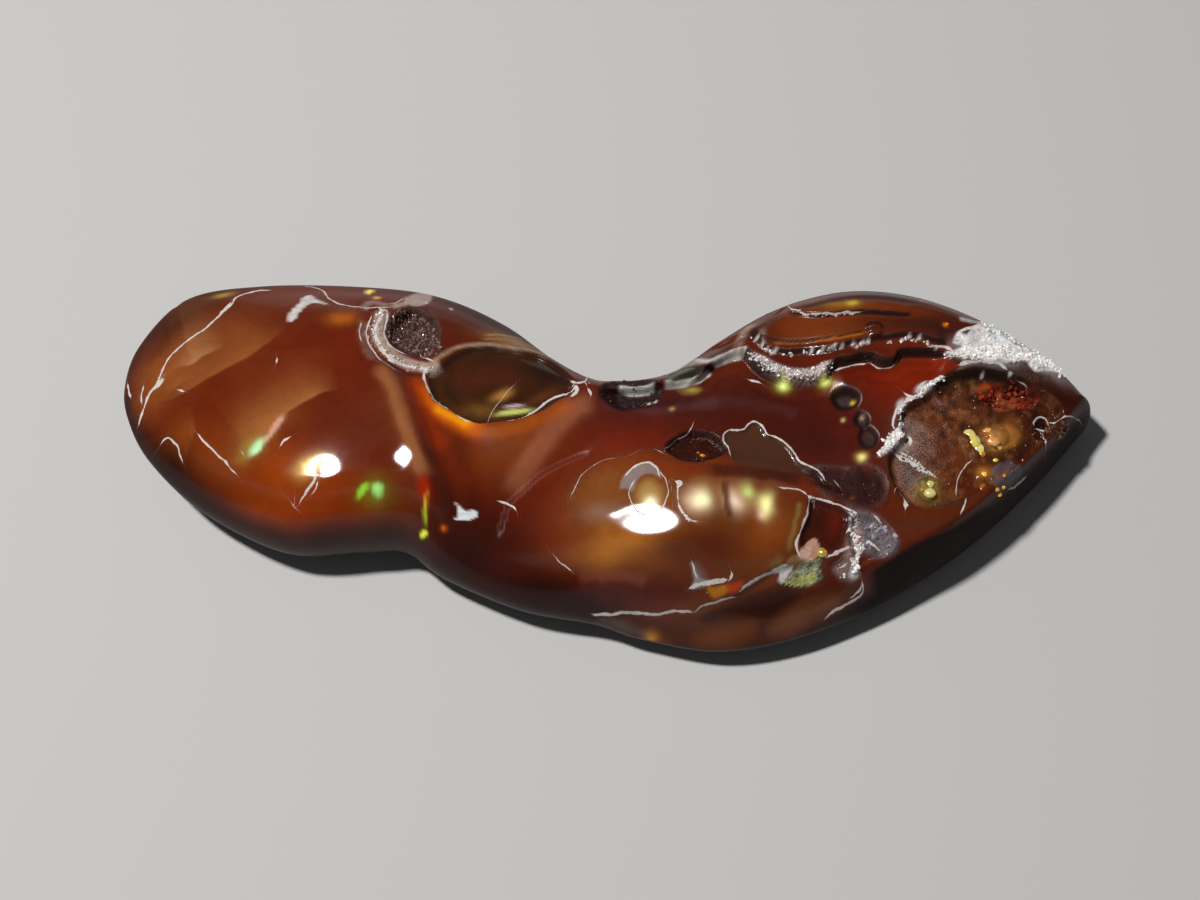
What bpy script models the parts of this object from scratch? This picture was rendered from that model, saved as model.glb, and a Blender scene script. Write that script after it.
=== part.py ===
"""A polished fire agate freeform, 51 mm long: one stone, lying on its flat-ground back.

The stone is modelled as a lapidary leaves it. Its outline in plan is one closed curve, and a polished crown
of low, merging domes stands on it. The crown's shoulder rounds down to the girdle, the widest line, and an
undercut leads from there to the flat back. The places where the polish has gone through the layers, or where
the stone has broken, are then cut into the crown: hollows with steep walls, ledges between layers, and small
beads left standing.

Units are millimetres throughout, and metres only where the mesh is made. +X runs along the stone, +Z is up.
"""

import math

import bmesh
import bpy
import numpy as np

MM = 0.001

# How finely the stone is lofted: stations along it, rows over the crown and rows across the back.
STATIONS = 98
CROWN_ROWS = 44
BACK_ROWS = 7

# The outline, anticlockwise from the blunt left end along the front to the pointed right end, and back along
# the rear. Each row is a point of the girdle: x, y, its height, how far in the crown's shoulder reaches, how
# far in the flat back begins, and how much the shoulder slants instead of rounding over.
OUTLINE = [
    (-25.5, 4.0, 2.9, 4.8, 2.4, 0.0),
    (-25.1, 1.9, 3.0, 4.6, 2.6, 0.0),
    (-23.8, -0.4, 3.0, 4.2, 2.8, 0.0),
    (-20.8, -3.2, 3.0, 3.4, 2.8, 0.0),
    (-16.5, -5.3, 3.0, 2.7, 2.6, 0.0),
    (-12.5, -5.2, 3.0, 2.6, 2.4, 0.0),
    (-10.4, -5.2, 2.9, 2.7, 2.2, 0.0),
    (-8.4, -6.6, 2.7, 3.2, 2.1, 0.0),
    (-4.4, -8.3, 2.5, 4.0, 2.1, 0.2),
    (-0.6, -9.0, 2.3, 4.2, 2.0, 0.6),
    (1.6, -9.7, 2.1, 4.4, 1.8, 1.0),
    (5.5, -10.4, 2.1, 4.4, 1.8, 1.0),
    (9.4, -9.8, 2.1, 4.2, 1.7, 1.0),
    (13.4, -8.2, 1.9, 2.4, 1.4, 0.6),
    (16.3, -6.4, 1.6, 1.1, 1.1, 0.2),
    (18.5, -4.8, 1.4, 0.8, 0.9, 0.0),
    (20.7, -2.9, 1.3, 0.8, 0.8, 0.0),
    (23.0, -0.6, 1.2, 0.8, 0.7, 0.0),
    (24.9, 1.6, 1.2, 0.9, 0.7, 0.0),
    (25.7, 2.7, 1.3, 1.1, 0.7, 0.0),
    (25.0, 3.8, 1.4, 1.4, 0.8, 0.0),
    (23.3, 5.4, 1.8, 1.8, 0.9, 0.0),
    (20.2, 7.2, 2.4, 2.2, 1.2, 0.0),
    (16.5, 8.6, 2.8, 2.6, 1.4, 0.0),
    (12.6, 8.9, 3.0, 2.8, 1.4, 0.0),
    (8.7, 7.8, 2.8, 2.6, 1.4, 0.0),
    (5.4, 5.8, 2.6, 2.2, 1.3, 0.0),
    (2.6, 3.9, 2.5, 1.8, 1.2, 0.0),
    (-0.2, 3.7, 2.5, 1.8, 1.2, 0.0),
    (-2.6, 5.2, 2.6, 2.4, 1.4, 0.0),
    (-5.4, 7.6, 2.7, 3.2, 1.6, 0.0),
    (-9.1, 9.3, 2.8, 4.0, 1.9, 0.0),
    (-13.3, 9.9, 2.8, 5.0, 2.1, 0.0),
    (-18.6, 10.0, 2.8, 5.4, 2.2, 0.0),
    (-22.6, 9.3, 2.7, 5.4, 2.2, 0.0),
    (-24.9, 6.6, 2.7, 5.2, 2.3, 0.0),
]

# The crown's domes: centre x and y, height of the top, radius of curvature along and across at the top, how
# far down the sides straighten towards those of a cone, and turn in degrees. Two domes blend over MERGE.
DOMES = {
    "left_lobe": (-13.0, 0.2, 7.4, 12.5, 13.0, 2.5, 0.0),
    "great_dome": (3.1, -4.7, 7.7, 8.0, 6.4, 1.5, 0.0),
    "waist": (-1.5, 1.8, 6.6, 90.0, 9.0, 9.0, 6.0),
    "middle_flat": (10.0, 1.2, 6.0, 60.0, 60.0, 9.0, 0.0),
    "back_ridge": (12.6, 6.4, 7.3, 26.0, 9.0, 9.0, -4.0),
    "right_end": (15.6, 1.8, 6.2, 16.0, 22.0, 9.0, -8.0),
}
MERGE = 0.15

# Places cut into the crown, or crusted over it: the closed outline in plan, then the depth (less than nothing
# for a crust), how far in the wall takes to reach it, how much the floor's middle swells back up, how far in
# it does so, and how rough the floor is.
HOLLOWS = {
    "almond_eye": (
        [(-9.4, 3.9), (-8.9, 2.1), (-7.5, 1.1), (-5.9, 0.7), (-3.4, 1.3), (-1.9, 2.3)]
        + [(-1.6, 3.0), (-2.4, 4.1), (-4.5, 5.3), (-6.8, 5.6), (-8.4, 4.9)],
        (0.75, 0.60, 0.55, 1.8, 0.0),
    ),
    "druse_pit": (
        [(-11.6, 6.1), (-11.3, 7.7), (-10.4, 8.6), (-9.2, 8.1)]
        + [(-8.7, 6.8), (-9.0, 5.5), (-10.0, 4.8), (-11.1, 5.0)],
        (0.90, 0.70, 0.0, 1.0, 0.12),
    ),
    "notch": (
        [(-0.3, 2.6), (0.1, 3.3), (1.3, 3.5), (2.7, 3.1), (3.0, 2.3), (2.5, 1.6), (1.1, 1.4), (0.1, 1.8)],
        (0.65, 0.80, 0.0, 1.0, 0.12),
    ),
    "olive_lens": (
        [(2.9, 3.5), (3.5, 4.2), (4.6, 4.1), (5.1, 3.6), (4.5, 2.9), (3.4, 2.8)],
        (0.40, 0.60, 0.0, 1.0, 0.0),
    ),
    "dark_pit": (
        [(2.9, -1.4), (3.5, -0.3), (4.5, 0.0), (5.5, -0.1), (6.3, -1.1), (5.5, -2.1), (3.9, -2.3)],
        (0.65, 0.80, 0.0, 1.0, 0.12),
    ),
    "cloud": (
        [(6.1, -1.3), (5.9, -0.3), (7.1, 0.2), (7.7, 0.7), (8.4, -0.1), (9.4, -0.9), (9.9, -1.9)]
        + [(10.9, -3.1), (9.2, -2.9), (7.5, -2.5), (6.3, -2.3)],
        (0.55, 0.55, 0.10, 1.0, 0.0),
    ),
    "pan": (
        [(16.9, 2.8), (15.8, 1.8), (15.0, 1.1), (14.8, 0.3), (14.2, -1.1), (14.5, -2.6)]
        + [(15.6, -3.6), (17.2, -3.5), (19.3, -2.5), (21.1, -1.2), (22.6, 0.3), (23.7, 1.7)]
        + [(23.4, 2.6), (22.5, 3.2), (20.3, 3.5), (18.2, 3.4)],
        (0.75, 0.70, 0.30, 2.2, 0.08),
    ),
    "vug": (
        [(19.0, 2.2), (19.8, 3.0), (21.0, 3.3), (22.3, 3.0), (22.6, 2.2), (21.4, 1.6), (19.8, 1.5)],
        (0.40, 0.70, 0.0, 1.0, 0.20),
    ),
    "broken_patch": (
        [(12.0, -5.0), (13.3, -4.7), (14.4, -5.3), (14.6, -6.0), (13.7, -6.5)]
        + [(12.8, -6.7), (12.2, -6.4), (11.8, -5.8)],
        (0.40, 0.70, 0.0, 1.0, 0.14),
    ),
    "dark_facet": (
        [(9.9, -4.2), (11.1, -4.2), (12.2, -4.8), (11.9, -6.2), (10.9, -6.8), (9.9, -6.6), (9.5, -5.6)],
        (0.40, 0.65, 0.0, 1.0, 0.03),
    ),
    "ring_pit_back": (
        [(11.3, 1.8), (12.2, 2.7), (13.1, 1.8), (12.2, 0.9)],
        (0.40, 0.60, 0.0, 1.0, 0.04),
    ),
    "ring_pit_front": (
        [(12.6, 0.7), (13.3, 1.2), (14.0, 0.1), (13.4, -0.7), (12.8, -0.1)],
        (0.35, 0.60, 0.0, 1.0, 0.04),
    ),
    "white_crust": (
        [(16.9, 4.2), (18.3, 5.6), (20.0, 6.4), (22.2, 6.2), (24.3, 4.6)]
        + [(23.9, 3.7), (21.8, 3.8), (19.8, 3.9), (17.9, 3.6)],
        (-0.12, 0.60, 0.0, 1.0, 0.10),
    ),
}

# Edges where one layer ends above the next: the line in plan, then how far the left side stands above the
# right as the line is followed, how wide the step is, and how far off it has died away.
LEDGES = {
    "lobe_edge": (
        [(-11.9, 4.8), (-10.9, 2.6), (-10.0, 0.6), (-9.0, -1.7), (-8.2, -3.6), (-8.1, -5.6)],
        (-0.70, 1.60, 2.4),
    ),
    "front_shelf": (
        [(-1.4, -8.7), (0.7, -8.6), (2.5, -8.8), (4.7, -8.8)]
        + [(6.5, -8.4), (7.7, -7.8), (9.1, -7.3), (12.6, -7.2)],
        (0.60, 0.50, 1.8),
    ),
    "dome_edge": (
        [(-2.0, -4.6), (-1.7, -3.6), (-0.8, -2.3), (0.4, -1.9), (1.7, -1.5), (3.2, -1.7)],
        (-0.40, 0.50, 1.4),
    ),
    "dome_valley": (
        [(2.8, -2.0), (6.0, -2.4), (7.7, -2.7), (9.7, -3.2), (11.6, -3.7)],
        (-0.35, 0.50, 1.2),
    ),
    "terrace_1": (
        [(-0.4, 2.6), (2.8, 2.7), (4.9, 3.2), (6.2, 3.9), (7.2, 4.2), (8.2, 3.3)]
        + [(10.0, 2.7), (11.2, 2.9), (12.0, 3.6), (14.0, 3.5), (15.2, 4.1), (16.8, 4.1)],
        (0.80, 0.55, 1.4),
    ),
    "terrace_2": (
        [(4.6, 4.5), (7.4, 5.2), (9.0, 4.5), (11.5, 4.3), (13.4, 4.8), (15.9, 5.0), (18.2, 4.3)],
        (0.50, 0.50, 1.0),
    ),
    "terrace_3": (
        [(8.2, 7.2), (9.6, 6.5), (11.5, 6.2), (13.6, 6.4), (17.5, 6.2)],
        (0.50, 0.50, 1.0),
    ),
}

# Small round beads standing on the crown: x, y, radius and height.
BEADS = [
    (18.6, -0.3, 0.8, 0.30),
    (19.6, 0.1, 1.0, 0.45),
    (20.8, 0.4, 1.1, 0.40),
    (16.3, -2.9, 0.9, 0.30),
    (19.2, -2.0, 0.7, 0.20),
    (10.7, -6.5, 0.5, 0.25),
    (13.3, 5.1, 0.6, 0.20),
]


def smooth_curve(points, closed, steps=8):
    """A curve through the points, with this many steps from each to the next."""
    rows = np.array(points, float)
    if closed:
        before, after, beyond = (np.roll(rows, shift, axis=0) for shift in (1, -1, -2))
    else:
        ends = np.vstack([2 * rows[0] - rows[1], rows, 2 * rows[-1] - rows[-2]])
        before, rows, after, beyond = ends[:-3], ends[1:-2], ends[2:-1], ends[3:]
    t = (np.arange(steps) / steps)[None, :, None]
    a, b, c, d = (part[:, None, :] for part in (before, rows, after, beyond))
    rise = (c - a) * t + (2 * a - 5 * b + 4 * c - d) * t**2 + (3 * b - a - 3 * c + d) * t**3
    curve = (b + 0.5 * rise).reshape(-1, rows.shape[1])
    return curve if closed else np.vstack([curve, after[-1]])


def nearest_on(curve, closed, x, y):
    """How far each point is from the curve, on which side, how far along it, and the curve's values there."""
    starts = curve if closed else curve[:-1]
    steps = (np.roll(curve, -1, axis=0) if closed else curve[1:]) - starts
    lengths = np.hypot(steps[:, 0], steps[:, 1])
    runs = np.concatenate([[0], np.cumsum(lengths)])
    gap, side, along = np.full(x.shape, np.inf), np.ones(x.shape), np.zeros(x.shape)
    values = np.zeros((*x.shape, curve.shape[1] - 2))
    for start, step, length, run in zip(starts, steps, lengths, runs):
        dx, dy = x - start[0], y - start[1]
        t = np.clip((dx * step[0] + dy * step[1]) / length**2, 0, 1)
        here = np.hypot(dx - t * step[0], dy - t * step[1])
        closer = here < gap
        gap[closer] = here[closer]
        side[closer] = np.sign(step[0] * dy - step[1] * dx)[closer]
        along[closer] = run + t[closer] * length
        values[closer] = start[2:] + t[closer][:, None] * step[2:]
    return gap, side, along, runs[-1], values


def inside_of(curve, x, y):
    """Whether each point lies inside the closed curve."""
    inside = np.zeros(x.shape, bool)
    for (ax, ay), (bx, by) in zip(curve, np.roll(curve, -1, axis=0)):
        if ay != by:
            inside ^= ((ay > y) != (by > y)) & (x < ax + (y - ay) * (bx - ax) / (by - ay))
    return inside


def smooth_step(share):
    """Rises from 0 to 1 as the share does, levelling off at both ends."""
    share = np.clip(share, 0, 1)
    return share * share * (3 - 2 * share)


def quarter_round(share):
    """Rises from 0 to 1 as the share does, as a quarter circle."""
    return np.sqrt(1 - (1 - np.clip(share, 0, 1)) ** 2)


def rubble(x, y):
    """An uneven surface between -1 and 1, with lumps about a millimetre across."""
    total = np.zeros_like(x)
    for i in range(7):
        angle, pitch = 2.4 * i + 0.3, 1.5 - 0.12 * i
        total += np.sin(2 * math.pi / pitch * (x * math.cos(angle) + y * math.sin(angle)) + 1.9 * i)
    return total / 4


def crown_domes(x, y):
    """The height of the merging domes, before the shoulder and the cuts."""
    total = np.zeros_like(x)
    for cx, cy, top, along, across, straighten, turn in DOMES.values():
        c, s = math.cos(math.radians(turn)), math.sin(math.radians(turn))
        u, v = (x - cx) * c + (y - cy) * s, (y - cy) * c - (x - cx) * s
        fall = straighten * (np.sqrt(1 + (u**2 / along + v**2 / across) / straighten) - 1)
        total += np.exp((top - fall) / MERGE)
    return MERGE * np.log(total)


def crown_cuts(x, y):
    """What the hollows, ledges and beads add to the crown's height."""
    change = np.zeros_like(x)
    for points, (depth, wall, swell, reach, rough) in HOLLOWS.values():
        curve = smooth_curve(points, True)
        inside = inside_of(curve, x, y)
        deep = np.where(inside, nearest_on(curve, True, x, y)[0], 0)
        shape = depth - swell * smooth_step(deep / reach) + rough * rubble(x, y)
        change -= smooth_step(deep / wall) * shape
    for points, (rise, width, reach) in LEDGES.values():
        gap, side, along, length, _ = nearest_on(smooth_curve(points, False), False, x, y)
        ends = smooth_step(np.minimum(along, length - along) / 1.2)
        step = smooth_step(side * gap / width + 0.5) - 0.5
        change += rise * step * np.exp(-((gap / reach) ** 2)) * ends
    for cx, cy, radius, height in BEADS:
        change += height * quarter_round(1 - np.hypot(x - cx, y - cy) / radius)
    return change


def crown_surface(x, y, outline):
    gap, _, _, _, values = nearest_on(outline, True, x, y)
    girdle, shoulder, slant = values[..., 0], values[..., 1], values[..., 3]
    crown = crown_domes(x, y) + crown_cuts(x, y) * smooth_step(gap / 1.0)
    slanted = 1 - (1 - np.clip(gap / shoulder, 0, 1)) ** 2
    rise = quarter_round(gap / shoulder) * (1 - slant) + slanted * slant
    return girdle + (crown - girdle) * rise


def back_surface(x, y, outline):
    gap, _, _, _, values = nearest_on(outline, True, x, y)
    girdle, undercut = values[..., 0], values[..., 2]
    return girdle * (1 - quarter_round(gap / undercut))


def outline_loop():
    """The outline in short steps, centred on the origin in plan."""
    loop = smooth_curve(OUTLINE, True, 12)
    loop[:, :2] -= (loop[:, :2].min(axis=0) + loop[:, :2].max(axis=0)) / 2
    return loop


def plan_grid(outline, rows, crowding):
    """Plan positions of the rows from front to back, crowded towards both edges, and the two end points."""
    left, right = np.argmin(outline[:, 0]), np.argmax(outline[:, 0])
    ordered = np.roll(outline, -left, axis=0)
    turn = (right - left) % len(outline)
    front = ordered[: turn + 1]
    back = np.vstack([ordered[turn:], ordered[:1]])[::-1]
    run = np.concatenate([[0], np.cumsum(np.hypot(np.diff(front[:, 0]), np.diff(front[:, 1])))])
    x = np.interp(np.linspace(0, run[-1], STATIONS + 1), run, front[:, 0])[1:-1]
    even = np.linspace(0, 1, rows + 1)
    share = even + crowding * ((1 - np.cos(np.pi * even)) / 2 - even)
    y_front = np.interp(x, front[:, 0], front[:, 1])
    y_back = np.interp(x, back[:, 0], back[:, 1])
    y = y_front[:, None] + (y_back - y_front)[:, None] * share
    return np.repeat(x[:, None], rows + 1, axis=1), y, (outline[left, :3], outline[right, :3])


def join_rings(loft, ring, following):
    """Triangles between two rings, each square split along its more level diagonal to keep ledges crisp."""
    for i in range(len(ring)):
        j = (i + 1) % len(ring)
        a, b, c, d = ring[i], following[i], following[j], ring[j]
        if abs(a.co.z - c.co.z) < abs(b.co.z - d.co.z):
            corners = ((a, b, c), (a, c, d))
        else:
            corners = ((a, b, d), (b, c, d))
        for triangle in corners:
            loft.faces.new(triangle)


def loft_stone():
    """One closed mesh: a ring of points at each station, over the crown and under, and one at each end."""
    outline = outline_loop()
    x, y, ends = plan_grid(outline, CROWN_ROWS, 0.6)
    crown = np.stack([x, y, crown_surface(x, y, outline)], axis=-1)
    x, y, _ = plan_grid(outline, BACK_ROWS, 1.0)
    back = np.stack([x, y, back_surface(x, y, outline)], axis=-1)
    rings = np.concatenate([crown, back[:, -2:0:-1]], axis=1) * MM
    loft = bmesh.new()
    verts = [[loft.verts.new(point) for point in ring] for ring in rings]
    for ring, following in zip(verts, verts[1:]):
        join_rings(loft, ring, following)
    for ring, end in zip((verts[0], verts[-1]), ends):
        tip = loft.verts.new(end * MM)
        for i in range(len(ring)):
            loft.faces.new((ring[i], ring[(i + 1) % len(ring)], tip))
    bmesh.ops.recalc_face_normals(loft, faces=loft.faces)
    mesh = bpy.data.meshes.new("fire_agate")
    loft.to_mesh(mesh)
    loft.free()
    mesh.shade_smooth()
    return mesh


def agate_material():
    """Polished brown chalcedony."""
    material = bpy.data.materials.new("polished_brown_chalcedony")
    material.use_nodes = True
    shader = material.node_tree.nodes["Principled BSDF"]
    shader.inputs["Base Color"].default_value = (0.23, 0.065, 0.022, 1.0)
    shader.inputs["Roughness"].default_value = 0.12
    shader.inputs["Metallic"].default_value = 0.0
    shader.inputs["IOR"].default_value = 1.54
    return material


def main():
    for old in list(bpy.data.objects):
        bpy.data.objects.remove(old)
    stone = bpy.data.objects.new("fire_agate", loft_stone())
    stone.data.materials.append(agate_material())
    bpy.context.scene.collection.objects.link(stone)


main()
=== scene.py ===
import math

import bpy
import numpy as np
from mathutils import Euler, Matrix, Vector, kdtree


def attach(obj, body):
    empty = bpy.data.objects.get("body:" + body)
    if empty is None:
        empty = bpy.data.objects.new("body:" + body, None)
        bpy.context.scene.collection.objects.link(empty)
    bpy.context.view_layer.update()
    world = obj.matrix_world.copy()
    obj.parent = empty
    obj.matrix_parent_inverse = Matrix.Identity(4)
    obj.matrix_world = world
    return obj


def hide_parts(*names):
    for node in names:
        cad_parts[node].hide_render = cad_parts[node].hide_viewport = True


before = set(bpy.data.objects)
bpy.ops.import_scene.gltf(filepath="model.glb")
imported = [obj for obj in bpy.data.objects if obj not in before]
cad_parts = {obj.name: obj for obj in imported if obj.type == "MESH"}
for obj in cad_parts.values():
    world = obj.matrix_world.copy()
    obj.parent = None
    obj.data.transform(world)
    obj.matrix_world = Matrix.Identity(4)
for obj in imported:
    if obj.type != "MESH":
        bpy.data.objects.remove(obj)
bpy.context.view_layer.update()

# All sizes are in millimetres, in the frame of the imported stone, until a mesh is made.
MM = 0.001

# ----------------------------------------------------------------------------------------------------
# The camera. It looks down on the stone's polished crown from the front, from 12 cm away. Places on the
# crown are given below as (across, down) in its 1200 x 900 view, and are carried to the stone along its rays.
VIEW_ACROSS = 1200
VIEW_DOWN = 900
ELEVATION = math.radians(66)
LENS = 70.0
SENSOR = 36.0
PIXELS_PER_MM = 19.3
AIM = np.array([-0.43, 0.02, 4.0])

focal = VIEW_ACROSS * LENS / SENSOR
looking = np.array([0.0, math.cos(ELEVATION), -math.sin(ELEVATION)])
upwards = np.array([0.0, math.sin(ELEVATION), math.cos(ELEVATION)])
eye = AIM - looking * focal / PIXELS_PER_MM

camera = bpy.data.objects.new("camera", bpy.data.cameras.new("camera"))
camera.data.lens = LENS
camera.data.sensor_width = SENSOR
camera.data.clip_start = 0.005
camera.location = Vector(eye) * MM
camera.rotation_euler = (math.pi / 2 - ELEVATION, 0, 0)
bpy.context.scene.collection.objects.link(camera)
bpy.context.scene.camera = camera


def seen_at(points):
    """Where the camera sees points, in pixels across and down its view."""
    ray = points - eye
    depth = ray @ looking
    across = VIEW_ACROSS / 2 + focal * ray[..., 0] / depth
    down = VIEW_DOWN / 2 - focal * (ray @ upwards) / depth
    return np.stack([across, down], axis=-1)


# ----------------------------------------------------------------------------------------------------
# The stone's body: chalcedony, ground flat behind and polished in front to follow the bubbles of its layers.
# Its outline in plan and the low domes of its crown are those of the solid it covers, drawn much finer here.

# Stations from end to end, closer to one another right of FINE_FROM, and rows crowded towards the outline.
STATIONS = 440
FINE_FROM = -0.5
FINER = 1.6
CROWN_ROWS = 196
CROWN_CROWDING = 0.5
BACK_ROWS = 24
BACK_CROWDING = 1.0

# The outline, anticlockwise from the blunt left end: x, y, height of the girdle, reach of the crown's
# shoulder, reach of the undercut, and how much the shoulder slants instead of rounding over.
OUTLINE = [
    (-25.5, 4.0, 2.9, 4.8, 2.4, 0.0),
    (-25.1, 1.9, 3.0, 4.6, 2.6, 0.0),
    (-23.8, -0.4, 3.0, 4.2, 2.8, 0.0),
    (-20.8, -3.2, 3.0, 3.4, 2.8, 0.0),
    (-16.5, -5.3, 3.0, 2.7, 2.6, 0.0),
    (-12.5, -5.2, 3.0, 2.6, 2.4, 0.0),
    (-10.4, -5.2, 2.9, 2.7, 2.2, 0.0),
    (-8.4, -6.6, 2.7, 3.2, 2.1, 0.0),
    (-4.4, -8.3, 2.5, 4.0, 2.1, 0.2),
    (-0.6, -9.0, 2.3, 4.2, 2.0, 0.6),
    (1.6, -9.7, 2.1, 4.4, 1.8, 1.0),
    (5.5, -10.4, 2.1, 4.4, 1.8, 1.0),
    (9.4, -9.8, 2.1, 4.2, 1.7, 1.0),
    (13.4, -8.2, 1.9, 2.4, 1.4, 0.6),
    (16.3, -6.4, 1.6, 1.1, 1.1, 0.2),
    (18.5, -4.8, 1.4, 0.8, 0.9, 0.0),
    (20.7, -2.9, 1.3, 0.8, 0.8, 0.0),
    (23.0, -0.6, 1.2, 0.8, 0.7, 0.0),
    (24.9, 1.6, 1.2, 0.9, 0.7, 0.0),
    (25.7, 2.7, 1.3, 1.1, 0.7, 0.0),
    (25.0, 3.8, 1.4, 1.4, 0.8, 0.0),
    (23.3, 5.4, 1.8, 1.8, 0.9, 0.0),
    (20.2, 7.2, 2.4, 2.2, 1.2, 0.0),
    (16.5, 8.6, 2.8, 2.6, 1.4, 0.0),
    (12.6, 8.9, 3.0, 2.8, 1.4, 0.0),
    (8.7, 7.8, 2.8, 2.6, 1.4, 0.0),
    (5.4, 5.8, 2.6, 2.2, 1.3, 0.0),
    (2.6, 3.9, 2.5, 1.8, 1.2, 0.0),
    (-0.2, 3.7, 2.5, 1.8, 1.2, 0.0),
    (-2.6, 5.2, 2.6, 2.4, 1.4, 0.0),
    (-5.4, 7.6, 2.7, 3.2, 1.6, 0.0),
    (-9.1, 9.3, 2.8, 4.0, 1.9, 0.0),
    (-13.3, 9.9, 2.8, 5.0, 2.1, 0.0),
    (-18.6, 10.0, 2.8, 5.4, 2.2, 0.0),
    (-22.6, 9.3, 2.7, 5.4, 2.2, 0.0),
    (-24.9, 6.6, 2.7, 5.2, 2.3, 0.0),
]

# The crown's domes: centre x and y, top, radius of curvature along and across, how far down the sides
# straighten, and turn in degrees. Where two domes meet, they melt together over about MERGE.
DOMES = {
    "left_lobe": (-13.0, 0.2, 7.4, 12.5, 13.0, 2.5, 0.0),
    "great_dome": (3.1, -4.7, 7.7, 8.0, 6.4, 1.5, 0.0),
    "waist": (-1.5, 1.8, 6.6, 90.0, 9.0, 9.0, 6.0),
    "middle_flat": (10.0, 1.2, 6.0, 60.0, 60.0, 9.0, 0.0),
    "back_ridge": (12.6, 6.4, 7.3, 26.0, 9.0, 9.0, -4.0),
    "right_end": (15.6, 1.8, 6.2, 16.0, 22.0, 9.0, -8.0),
}
MERGE = 0.15


def smooth_curve(points, closed=False, steps=6):
    """A curve through the points, with this many steps from each to the next."""
    rows = np.array(points, float)
    if closed:
        before, after, beyond = (np.roll(rows, shift, axis=0) for shift in (1, -1, -2))
    else:
        ends = np.vstack([2 * rows[0] - rows[1], rows, 2 * rows[-1] - rows[-2]])
        before, rows, after, beyond = ends[:-3], ends[1:-2], ends[2:-1], ends[3:]
    t = (np.arange(steps) / steps)[None, :, None]
    a, b, c, d = (part[:, None, :] for part in (before, rows, after, beyond))
    rise = (c - a) * t + (2 * a - 5 * b + 4 * c - d) * t**2 + (3 * b - a - 3 * c + d) * t**3
    curve = (b + 0.5 * rise).reshape(-1, rows.shape[1])
    return curve if closed else np.vstack([curve, after[-1]])


def nearest_on(curve, closed, x, y):
    """How far each point is from the curve, on which side, how far along it, and the curve's values there."""
    starts = curve if closed else curve[:-1]
    steps = (np.roll(curve, -1, axis=0) if closed else curve[1:]) - starts
    lengths = np.maximum(np.hypot(steps[:, 0], steps[:, 1]), 1e-9)
    runs = np.concatenate([[0], np.cumsum(lengths)])
    gap, side, along = np.full(x.shape, np.inf), np.ones(x.shape), np.zeros(x.shape)
    values = np.zeros((*x.shape, curve.shape[1] - 2))
    for start, step, length, run in zip(starts, steps, lengths, runs):
        dx, dy = x - start[0], y - start[1]
        t = np.clip((dx * step[0] + dy * step[1]) / length**2, 0, 1)
        here = np.hypot(dx - t * step[0], dy - t * step[1])
        closer = here < gap
        gap[closer] = here[closer]
        side[closer] = np.sign(step[0] * dy - step[1] * dx)[closer]
        along[closer] = run + t[closer] * length
        values[closer] = start[2:] + t[closer][:, None] * step[2:]
    return gap, side, along, runs[-1], values


def smooth_step(share):
    """Rises from 0 to 1 as the share does, levelling off at both ends."""
    share = np.clip(share, 0, 1)
    return share * share * (3 - 2 * share)


def quarter_round(share):
    """Rises from 0 to 1 as the share does, as a quarter circle."""
    return np.sqrt(1 - (1 - np.clip(share, 0, 1)) ** 2)


def crown_domes(x, y):
    """The height of the domes over places in plan, before anything is cut into them."""
    total = np.zeros_like(x)
    for cx, cy, top, along, across, straighten, turn in DOMES.values():
        c, s = math.cos(math.radians(turn)), math.sin(math.radians(turn))
        u, v = (x - cx) * c + (y - cy) * s, (y - cy) * c - (x - cx) * s
        fall = straighten * (np.sqrt(1 + (u**2 / along + v**2 / across) / straighten) - 1)
        total += np.exp((top - fall) / MERGE)
    return MERGE * np.log(total)


outline = smooth_curve(OUTLINE, closed=True, steps=12)
outline[:, :2] -= (outline[:, :2].min(axis=0) + outline[:, :2].max(axis=0)) / 2
left_end, right_end = np.argmin(outline[:, 0]), np.argmax(outline[:, 0])


def plan_grid(rows, crowding):
    """Plan positions of rows from the front edge to the back edge, crowded towards both."""
    ordered = np.roll(outline, -left_end, axis=0)
    turn = (right_end - left_end) % len(outline)
    front = ordered[: turn + 1]
    back = np.vstack([ordered[turn:], ordered[:1]])[::-1]
    run = np.concatenate([[0], np.cumsum(np.hypot(np.diff(front[:, 0]), np.diff(front[:, 1])))])
    fineness = np.cumsum(np.where(front[:, 0] > FINE_FROM, FINER, 1.0) * np.gradient(run))
    x = np.interp(np.linspace(fineness[0], fineness[-1], STATIONS + 1), fineness, front[:, 0])[1:-1]
    even = np.linspace(0, 1, rows + 1)
    share = even + crowding * ((1 - np.cos(np.pi * even)) / 2 - even)
    y_front = np.interp(x, front[:, 0], front[:, 1])
    y_back = np.interp(x, back[:, 0], back[:, 1])
    y = y_front[:, None] + (y_back - y_front)[:, None] * share
    return np.repeat(x[:, None], rows + 1, axis=1), y


X, Y = plan_grid(CROWN_ROWS, CROWN_CROWDING)
edge_gap, _, _, _, edge_values = nearest_on(outline, True, X, Y)
girdle, shoulder, slant = edge_values[..., 0], edge_values[..., 1], edge_values[..., 3]
slanted = 1 - (1 - np.clip(edge_gap / shoulder, 0, 1)) ** 2
rounding = quarter_round(edge_gap / shoulder) * (1 - slant) + slanted * slant
uncut = girdle + (crown_domes(X, Y) - girdle) * rounding


def facing_of(points):
    """Which way the crown faces at each of its points, as vectors of uneven length."""
    return np.cross(np.gradient(points, axis=0), np.gradient(points, axis=1))


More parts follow.
